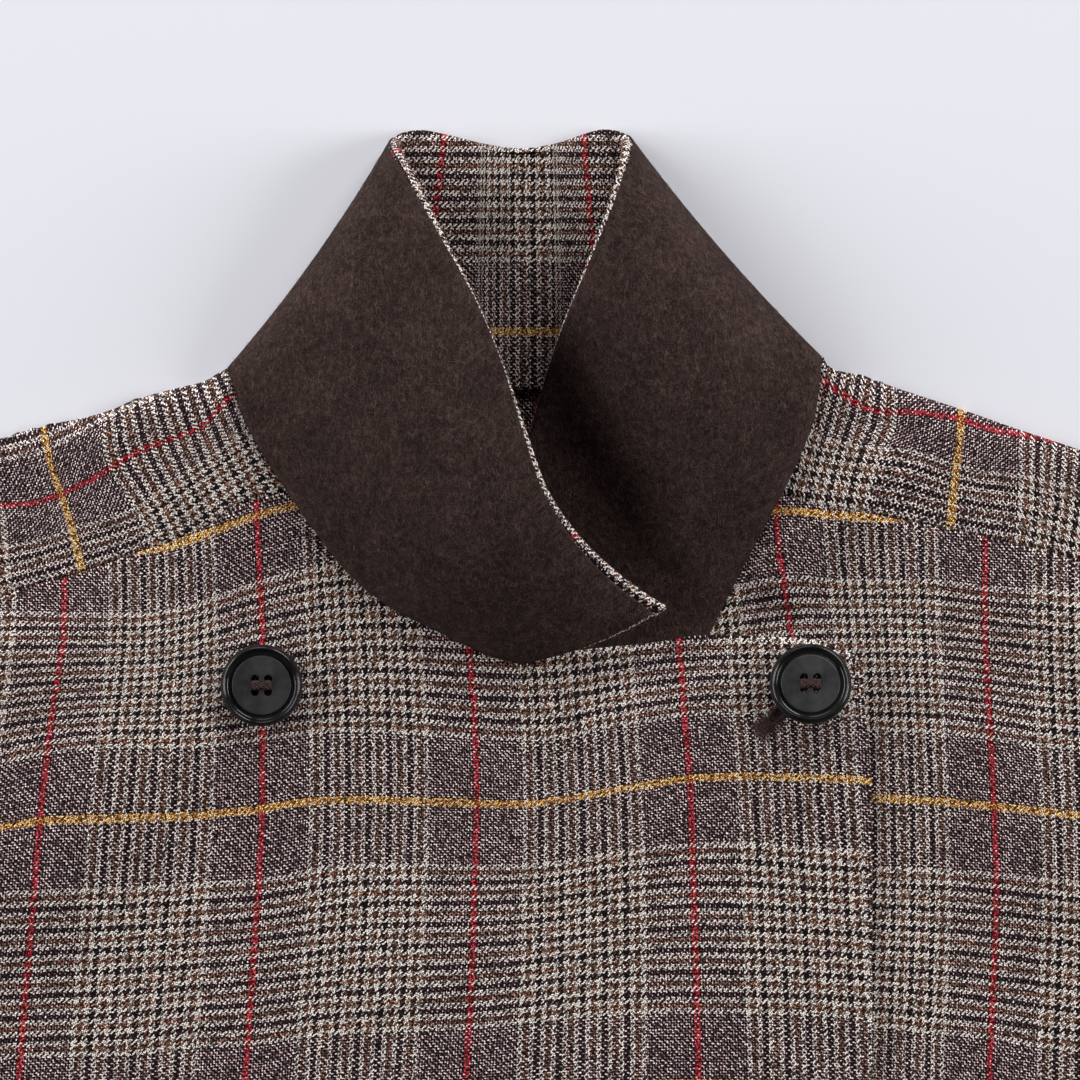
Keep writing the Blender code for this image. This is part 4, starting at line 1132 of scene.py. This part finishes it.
def edge_roll():
    """The cloth rolled over the collar's end and outer edge, onto the felt's side."""
    out = outward(whole)
    corner = COLLAR_ACROSS - 1
    table = np.vstack([
        np.column_stack([whole[0, :-1], out[0, :-1], np.full(corner, COLLAR_END_STRIP), np.zeros(corner)]),
        np.column_stack([whole[:, -1], out[:, -1], strip, places_along])])
    along = lengths(table[:, :3])
    at = np.linspace(0, along[-1], int(along[-1] / ROLL_STEP))
    table = between(at, along, table)
    from_tip, placed, soft = at - along[corner], table[:, 7], table[:, :7]
    tip = whole[0, -1]
    pointed = unit(unit(tip - whole[0, -TIP_NEAR]) + unit(tip - whole[TIP_NEAR, -1]))
    soft[:, :3] += TIP_PUSH * np.exp(-(from_tip / TIP_REACH) ** 2)[:, None] * pointed
    for turn in range(ROLL_SOFTENINGS):
        soft[1:-1] = (soft[:-2] + 2 * soft[1:-1] + soft[2:]) / 4
    path, normal, shown = soft[:, :3], unit(soft[:, 3:6]), soft[:, 6]
    away = np.cross(unit(np.gradient(path, axis=0)), normal)
    away *= np.sign((away * (path - whole.mean(axis=(0, 1)))).sum())
    middle, half = (ROLL_HIGH + ROLL_LOW) / 2, (ROLL_HIGH - ROLL_LOW) / 2
    radius = np.minimum(ROLL_RADIUS, shown)
    sections = [(-shown - ROLL_TUCK, ROLL_LOW_END), (-shown, ROLL_LOW)]
    for angle in np.radians(np.linspace(-90, 90, ROLL_TURNS)):
        sections.append((-radius + radius * math.cos(angle), middle + half * math.sin(angle)))
    sections += [(-shown, ROLL_HIGH), (-shown - ROLL_TUCK, ROLL_HIGH_END)]
    grid = np.stack([path + a[:, None] * away + b * normal for a, b in sections], axis=1)
    across = np.pad(np.cumsum(np.linalg.norm(np.diff(grid, axis=1), axis=2), axis=1), ((0, 0), (1, 0)))
    ends = np.repeat((from_tip / END_PITCH)[:, None] + TIP_END, grid.shape[1], axis=1)
    weave = np.dstack([ends, (across - across[:, -1:] / 2) / PICK_PITCH + ROLL_PICK])
    behind = (placed > COLLAR_KNOTS[OVER_FOLD_ROW]) & (placed < COLLAR_KNOTS[UNDER_FOLD_ROW])
    weave[behind] = collar_weave(grid, placed)[behind]
    index = np.arange(grid.size // 3).reshape(grid.shape[:2])
    following = np.roll(index, -1, axis=1)
    faces = np.stack([index[:-1], index[1:], following[1:], following[:-1]], axis=2).reshape(-1, 4)
    caps = []
    for line in (index[0], index[-1][::-1]):
        caps.extend([line[k], line[k + 1], line[-2 - k], line[-1 - k]] for k in range(len(line) // 2 - 1))
    return grid.reshape(-1, 3), np.vstack([faces, caps]), weave.reshape(-1, 2)


roll = edge_roll()
wool_panel("upper_collar", (np.vstack([upper[0], roll[0]]), np.vstack([upper[1], roll[1] + len(upper[0])]),
                            np.vstack([upper[2], roll[2]])))
seated(mesh_piece("under_collar_felt", *felt_wall, FELTED), "felt", "under_collar")

# Buttons
BUTTON_ROWS = 3
BUTTON_PITCH = 0.145
BUTTON_TOP = -0.0946
BUTTON_SPREAD = 0.0836
BUTTON_LIFT = 0.0004
SEAT_RADII = (0.0, 0.005, 0.010)
SEAT_POINTS = 12
# Each button's lift of its lower edge, in degrees
BUTTON_LEAN = {"right": (1.0, 2.0, 1.5), "left": (13.0, 6.0, 8.0)}
# Radius and height from the middle of the face over the rim to the middle of the back, in millimetres
BUTTON_TURNING = [
    (0.0, 2.86), (4.0, 2.87), (8.2, 2.90), (8.75, 2.92), (8.92, 2.88), (9.03, 2.76), (9.10, 2.58),
    (9.25, 2.40), (9.60, 2.30), (10.2, 2.34), (10.55, 2.62), (10.80, 3.15), (11.0, 3.65), (11.15, 3.88),
    (11.30, 3.96), (11.45, 3.92), (11.65, 3.74), (12.0, 3.36), (12.3, 2.90), (12.47, 2.50), (12.5, 2.2),
    (12.2, 1.5), (11.2, 0.6), (9.0, 0.05), (0.0, 0.0),
]
BUTTON_SIDES = 96
BUTTON_MERGE = 0.00002
BUTTON_SHARP = math.radians(40)
HOLE_RADIUS = 1.25
HOLE_SPREAD = 2.0
HOLE_SIDES = 24
HOLE_DEPTH = 0.010
HOLE_MIDDLE = 0.0015
# Threads from a hole: the shift to a side, and 1 if they go straight or -1 if they cross over
THREADS = ((-0.70, 1), (-0.35, 1), (0.0, 1), (0.35, 1), (0.70, 1), (-0.45, -1), (0.45, -1))
THREAD_HIGH = {1: 3.06, -1: 3.30}
THREAD_RADIUS = 0.00017
THREAD_SIDES = 6
THREAD_POINTS = 24
UP = (0.0, 0.0, 1.0)
FACING_SHORT = 1e-3


def turned_button():
    """A turned button with a raised rim and four holes, standing on its back."""
    mesh = bpy.data.meshes.new("button")
    edges = [(i, i + 1) for i in range(len(BUTTON_TURNING) - 1)]
    mesh.from_pydata([(r * MM, 0.0, z * MM) for r, z in BUTTON_TURNING], edges, [])
    blank = linked("button_blank", mesh)
    turn = blank.modifiers.new("turn", "SCREW")
    turn.steps = turn.render_steps = BUTTON_SIDES
    turn.use_merge_vertices = True
    turn.merge_threshold = BUTTON_MERGE
    cutters = []
    for x in (-HOLE_SPREAD, HOLE_SPREAD):
        for y in (-HOLE_SPREAD, HOLE_SPREAD):
            bpy.ops.mesh.primitive_cylinder_add(vertices=HOLE_SIDES, radius=HOLE_RADIUS * MM,
                                                depth=HOLE_DEPTH, location=(x * MM, y * MM, HOLE_MIDDLE))
            cutters.append(bpy.context.object)
            blank.modifiers.new("hole", "BOOLEAN").object = cutters[-1]
    graph = bpy.context.evaluated_depsgraph_get()
    made = bpy.data.meshes.new_from_object(blank.evaluated_get(graph))
    for extra in cutters + [blank]:
        bpy.data.objects.remove(extra)
    made.shade_smooth()
    made.set_sharp_from_angle(angle=BUTTON_SHARP)
    made.materials.clear()
    made.materials.append(HORN)
    return made


def on_cloth(places):
    """The height of the over front's upper face at plan places."""
    return layer_height(places, -1) + CLOTH / 2


def button_rest(place):
    """The height at which a button lies on the over front."""
    angles = np.linspace(0, 2 * math.pi, SEAT_POINTS, endpoint=False)
    ring = np.stack([np.cos(angles), np.sin(angles)], axis=1)
    return on_cloth(np.vstack([place + radius * ring for radius in SEAT_RADII])).max() + BUTTON_LIFT


def tubes(paths, radius, sides, up=UP):
    """Points and faces of closed tubes along paths with as many points each."""
    run = unit(np.gradient(paths, axis=1))
    across = np.cross(run, np.array(up))
    short = np.linalg.norm(across, axis=2) < FACING_SHORT
    across[short] = np.cross(run[short], np.array([0.0, 1.0, 0.0]))
    across = unit(across)
    over = np.cross(across, run)
    angles = np.linspace(0, 2 * math.pi, sides, endpoint=False)
    points = np.stack([paths + radius * (math.cos(a) * across + math.sin(a) * over) for a in angles], axis=2)
    index = np.arange(points.size // 3).reshape(points.shape[:3])
    following = np.roll(index, -1, axis=2)
    quads = np.stack([index[:, :-1], following[:, :-1], following[:, 1:], index[:, 1:]], axis=3)
    caps = np.vstack([index[:, 0, ::-1], index[:, -1]])
    return points.reshape(-1, 3), quads.reshape(-1, 4).tolist() + caps.tolist()


def tubes_piece(name, parts, finish):
    """Many tubes as one piece that rides on the jacket."""
    faces, count = [], 0
    for points, some_faces in parts:
        faces.extend([v + count for v in face] for face in some_faces)
        count += len(points)
    seated(mesh_piece(name, np.vstack([points for points, some_faces in parts]), faces, None, finish), None)


def leaned(points, lean):
    """Points of a button whose lower edge is lifted by an angle."""
    x, y, z = points.T
    cos, sin = math.cos(lean), math.sin(lean)
    return np.stack([x, y * cos + z * sin, z * cos - y * sin], axis=1)


button_shape = turned_button()
for row in range(BUTTON_ROWS):
    for side, name in ((-1, "right"), (1, "left")):
        place = np.array([side * BUTTON_SPREAD, BUTTON_TOP - row * BUTTON_PITCH])
        lean = math.radians(BUTTON_LEAN[name][row])
        lift = max(r * math.sin(lean) - z * math.cos(lean) for r, z in BUTTON_TURNING) * MM
        rest = button_rest(place) + lift
        button = linked(f"button_{row + 1}_{name}_horn", button_shape)
        button.location = (place[0], place[1] + PLAN_TO_ORIGIN, rest)
        button.rotation_euler = (-lean, 0.0, 0.0)
        seated(button, "button", f"button_{row + 1}_{name}")
        threads = []
        for x in (-HOLE_SPREAD, HOLE_SPREAD):
            for shift, way in THREADS:
                swing = shaken.uniform(-0.2, 0.2, 2)
                first, last = x + shift + swing[0], way * x + shift + swing[1]
                lean_in = 0.2 * (way * x - x)
                path = [(first, -1.60, 0.8), (first, -1.40, 2.30),
                        (x + shift * 1.2 + lean_in, -0.85, THREAD_HIGH[way]),
                        (way * x + shift * 1.2 - lean_in, 0.85, THREAD_HIGH[way]),
                        (last, 1.40, 2.30), (last, 1.60, 0.8)]
                path = leaned(smooth_line(metres(path), THREAD_POINTS), lean) + np.array([*place, rest])
                threads.append(tubes(path[None], THREAD_RADIUS, THREAD_SIDES))
        tubes_piece(f"button_{row + 1}_{name}_thread", threads, BROWN_THREAD)

# Worked buttonholes of the wearer's left column: a slit that runs down and in from under the button, drawn as
# a near-black sheet of painted shade, its lips worked over with thread, and a bar of stitches across its end
HOLE_RUN = np.array([-0.744, -0.668])
HOLE_ACROSS = np.array([-0.668, 0.744])
HOLE_FROM = 0.0040
HOLE_TO = 0.0172
HOLE_HALF = 0.0013
HOLE_END_HALF = 0.0002
SLIT_GRID = (24, 7)
SLIT_WALL = 0.00012
LIP_FROM = 0.0030
LIP_STITCH = 0.0017
LIP_PITCH = 0.00055
LIP_SHARES = np.array([0.0, 0.35, 0.7, 1.0])[:, None]
LIP_RISE = [0.0001, 0.00034, 0.00028, -0.0001]
LIP_RADIUS = 0.00018
BAR_STITCHES = 12
BAR_BEFORE = 0.0006
BAR_PITCH = 0.00046
BAR_HALF = 0.0029
BAR_RISE = [-0.0001, 0.00040, 0.00050, 0.00040, -0.0001]
BAR_RADIUS = 0.00017
STITCH_SIDES = 5
HOLE_FUZZ = 150
FUZZ_RISE = [0.0002, 0.0007, 0.0006]
FUZZ_RADIUS = 0.00005
FUZZ_SIDES = 3


def stitched(paths):
    """Tubes along plan paths over the over front: each path's places, their rise, a radius and sides."""
    level = on_cloth(np.vstack([path[0] for path in paths]))
    cuts = np.cumsum([len(path[0]) for path in paths])[:-1]
    return [tubes(np.column_stack([places, high + np.array(rise)])[None], radius, sides)
            for (places, rise, radius, sides), high in zip(paths, np.split(level, cuts))]


def hole_half(along):
    """Half of a slit's width at a place along it."""
    share = np.clip((along - HOLE_FROM) / (HOLE_TO - HOLE_FROM), 0, 1)
    return HOLE_HALF * np.sin(math.pi * share ** 0.8) ** 0.7 + HOLE_END_HALF


for row in range(BUTTON_ROWS):
    place = np.array([BUTTON_SPREAD, BUTTON_TOP - row * BUTTON_PITCH])
    along = np.linspace(HOLE_FROM, HOLE_TO, SLIT_GRID[0])
    wide = hole_half(along)[:, None] * np.linspace(-1, 1, SLIT_GRID[1])
    flat = place + along[:, None, None] * HOLE_RUN + wide[:, :, None] * HOLE_ACROSS
    # The slit is not cut: a thin near-black sheet lies just over the cloth as painted shade for the gap
    slit = np.dstack([flat, (on_cloth(flat.reshape(-1, 2)) + SLIT_WALL).reshape(SLIT_GRID)])
    seated(mesh_piece(f"buttonhole_{row + 1}_slit", *skin(slit, SLIT_WALL, flat), HOLE_SHADE), None)
    stitches = []
    for along in np.arange(HOLE_FROM + LIP_FROM, HOLE_TO, LIP_PITCH):
        for way in (-1, 1):
            start = place + along * HOLE_RUN + way * hole_half(along) * 0.75 * HOLE_ACROSS
            slant = shaken.uniform(-0.0003, 0.0003) * HOLE_RUN
            reach = way * LIP_STITCH * shaken.uniform(0.8, 1.15) * HOLE_ACROSS
            stitches.append((start + LIP_SHARES * (reach + slant), LIP_RISE, LIP_RADIUS, STITCH_SIDES))
    for k in range(BAR_STITCHES):
        middle = place + (HOLE_TO - BAR_BEFORE + k * BAR_PITCH) * HOLE_RUN
        near, far = (BAR_HALF * shaken.uniform(0.80, 1.12, 2))[:, None] * HOLE_ACROSS
        slant = shaken.uniform(-0.0005, 0.0005) * HOLE_RUN
        flat = np.stack([middle - near - slant, middle - 0.5 * near, middle, middle + 0.5 * far,
                         middle + far + slant])
        stitches.append((flat, BAR_RISE, BAR_RADIUS, STITCH_SIDES))
    for k in range(HOLE_FUZZ):
        start = (place + (HOLE_TO + shaken.uniform(-0.004, 0.005)) * HOLE_RUN
                 + shaken.uniform(-0.0032, 0.0032) * HOLE_ACROSS)
        angle = shaken.uniform(0, 2 * math.pi)
        reach = shaken.uniform(0.0008, 0.0022) * np.array([math.cos(angle), math.sin(angle)])
        bend = shaken.uniform(-0.5, 0.5) * np.array([-reach[1], reach[0]])
        flat = np.stack([start, start + 0.5 * reach + 0.25 * bend, start + reach + bend])
        stitches.append((flat, FUZZ_RISE, FUZZ_RADIUS, FUZZ_SIDES))
    tubes_piece(f"buttonhole_{row + 1}_stitches", stitched(stitches), BAR_THREAD)

# Loose fibres of the felt, and the short felling stitches beside the over collar's edge
NAP_HAIRS = 3600
NAP_POINTS = 5
NAP_RADIUS = 0.000032
NAP_SIDES = 3
NAP_FACING = -0.1
NAP_UP = (0.13, 0.29, 0.95)
FELLING_HAIRS = 420
FELLING_SIDE = 0.045
FELLING_HEIGHT = 0.016


def curved_hairs(root, run, over, reach, bend, rise):
    """Paths of hairs that start on a face, run over it and bend to a side, within the limits given."""
    reach, bend, rise = (shaken.uniform(*limits, len(root))[:, None] for limits in (reach, bend, rise))
    turn = np.cross(over, run)
    return np.stack([root + reach * t * run + reach * bend * t * t * turn + rise * 4 * t * (1.15 - t) * over
                     for t in np.linspace(0, 1, NAP_POINTS)], axis=1)


def felt_nap():
    """Hairs spread evenly over the felt that faces up, with short ones across the over collar's edge."""
    over = outward(felt_grid)
    corner = felt_grid[:-1, :-1]
    along, down = felt_grid[1:, :-1] - corner, felt_grid[:-1, 1:] - corner
    area = np.linalg.norm(np.cross(along, down), axis=2) * (over[:-1, :-1, 2] > NAP_FACING)
    spot = shaken.choice(area.size, NAP_HAIRS, p=(area / area.sum()).ravel())
    i, j = np.unravel_index(spot, area.shape)
    s, t = shaken.random((2, NAP_HAIRS, 1))
    face = over[i, j]
    root = corner[i, j] + s * along[i, j] + t * down[i, j] + FELT / 2 * face
    first = unit(along[i, j])
    angle = shaken.uniform(0, 2 * math.pi, (NAP_HAIRS, 1))
    run = np.cos(angle) * first + np.sin(angle) * np.cross(face, first)
    hairs = curved_hairs(root, run, face, (0.0010, 0.0034), (-0.7, 0.7), (0.00003, 0.00022))
    rows = np.nonzero(felt_grid[:, -1, 2] > FELLING_HEIGHT)[0]
    rows = rows[felt_grid[rows, -1, 0] < FELLING_SIDE]
    i = shaken.choice(rows[:-1], FELLING_HAIRS)
    s = shaken.random((FELLING_HAIRS, 1))
    edge = felt_grid[i, -2] + s * (felt_grid[i + 1, -2] - felt_grid[i, -2])
    back = unit(felt_grid[i, -4] - felt_grid[i, -2])
    face = over[i, -3]
    root = edge + FELT / 2 * face + shaken.uniform(0.0, 0.0012, (FELLING_HAIRS, 1)) * back
    short = curved_hairs(root, back, face, (0.0014, 0.0036), (-0.25, 0.45), (0.00004, 0.00016))
    return tubes(np.vstack([hairs, short]), NAP_RADIUS, NAP_SIDES, NAP_UP)


tubes_piece("under_collar_nap", [felt_nap()], LOOSE_FIBRE)

# Floor, light and camera
FLOOR_SIZE = 12.0
FLOOR_GAP = 0.0002
WORLD_LIGHT = 0.045
LIGHT_DISTANCE = 3.4
# Each light's turn and height in degrees, size and power
LIGHTS = [
    ("right_low", 2.0, 22.0, 1.5, 76.0),
    ("right_high", 60.0, 22.0, 1.5, 79.0),
    ("top", 98.0, 22.0, 1.3, 20.0),
    ("left_high", 150.0, 22.0, 1.5, 65.0),
    ("left_low", 179.0, 22.0, 1.5, 59.0),
]
LENS = 300.0
SENSOR = 36.0
SPAN = 0.3294
CAMERA_AIM = np.array([0.00122, -0.0503 + PLAN_TO_ORIGIN, 0.008])

bpy.ops.mesh.primitive_plane_add(size=FLOOR_SIZE, location=(0.0, 0.0, min(0.0, first_box[0].z) - FLOOR_GAP))
floor = bpy.context.object
floor.name = "floor"
ground, tree, shader = new_finish("pale_ground")
plugged(tree, shader, {"Base Color": (0.80, 0.80, 0.86, 1.0), "Roughness": 0.9, "Specular IOR Level": 0.1})
floor.data.materials.append(ground)

world = bpy.data.worlds.new("studio")
bpy.context.scene.world = world
world.use_nodes = True
plugged(world.node_tree, world.node_tree.nodes["Background"],
        {"Color": (1.0, 1.0, 1.0, 1.0), "Strength": WORLD_LIGHT})

for name, turn, high, size, power in LIGHTS:
    turn, high = math.radians(turn), math.radians(high)
    away = np.array([math.cos(turn) * math.cos(high), math.sin(turn) * math.cos(high), math.sin(high)])
    lamp = bpy.data.lights.new(name, "AREA")
    lamp.shape = "SQUARE"
    lamp.size = size
    lamp.energy = power
    light = linked(name, lamp)
    light.location = CAMERA_AIM + LIGHT_DISTANCE * away
    tilt = math.atan2(math.hypot(away[0], away[1]), away[2])
    light.rotation_euler = (tilt, 0.0, math.atan2(away[0], -away[1]))

lens = bpy.data.cameras.new("camera")
lens.lens = LENS
lens.sensor_width = SENSOR
lens.clip_start = 0.05
lens.clip_end = 50.0
camera = linked("camera", lens)
camera.location = CAMERA_AIM + np.array([0.0, 0.0, SPAN * LENS / SENSOR])
bpy.context.scene.camera = camera
bpy.context.scene.view_settings.view_transform = "Standard"
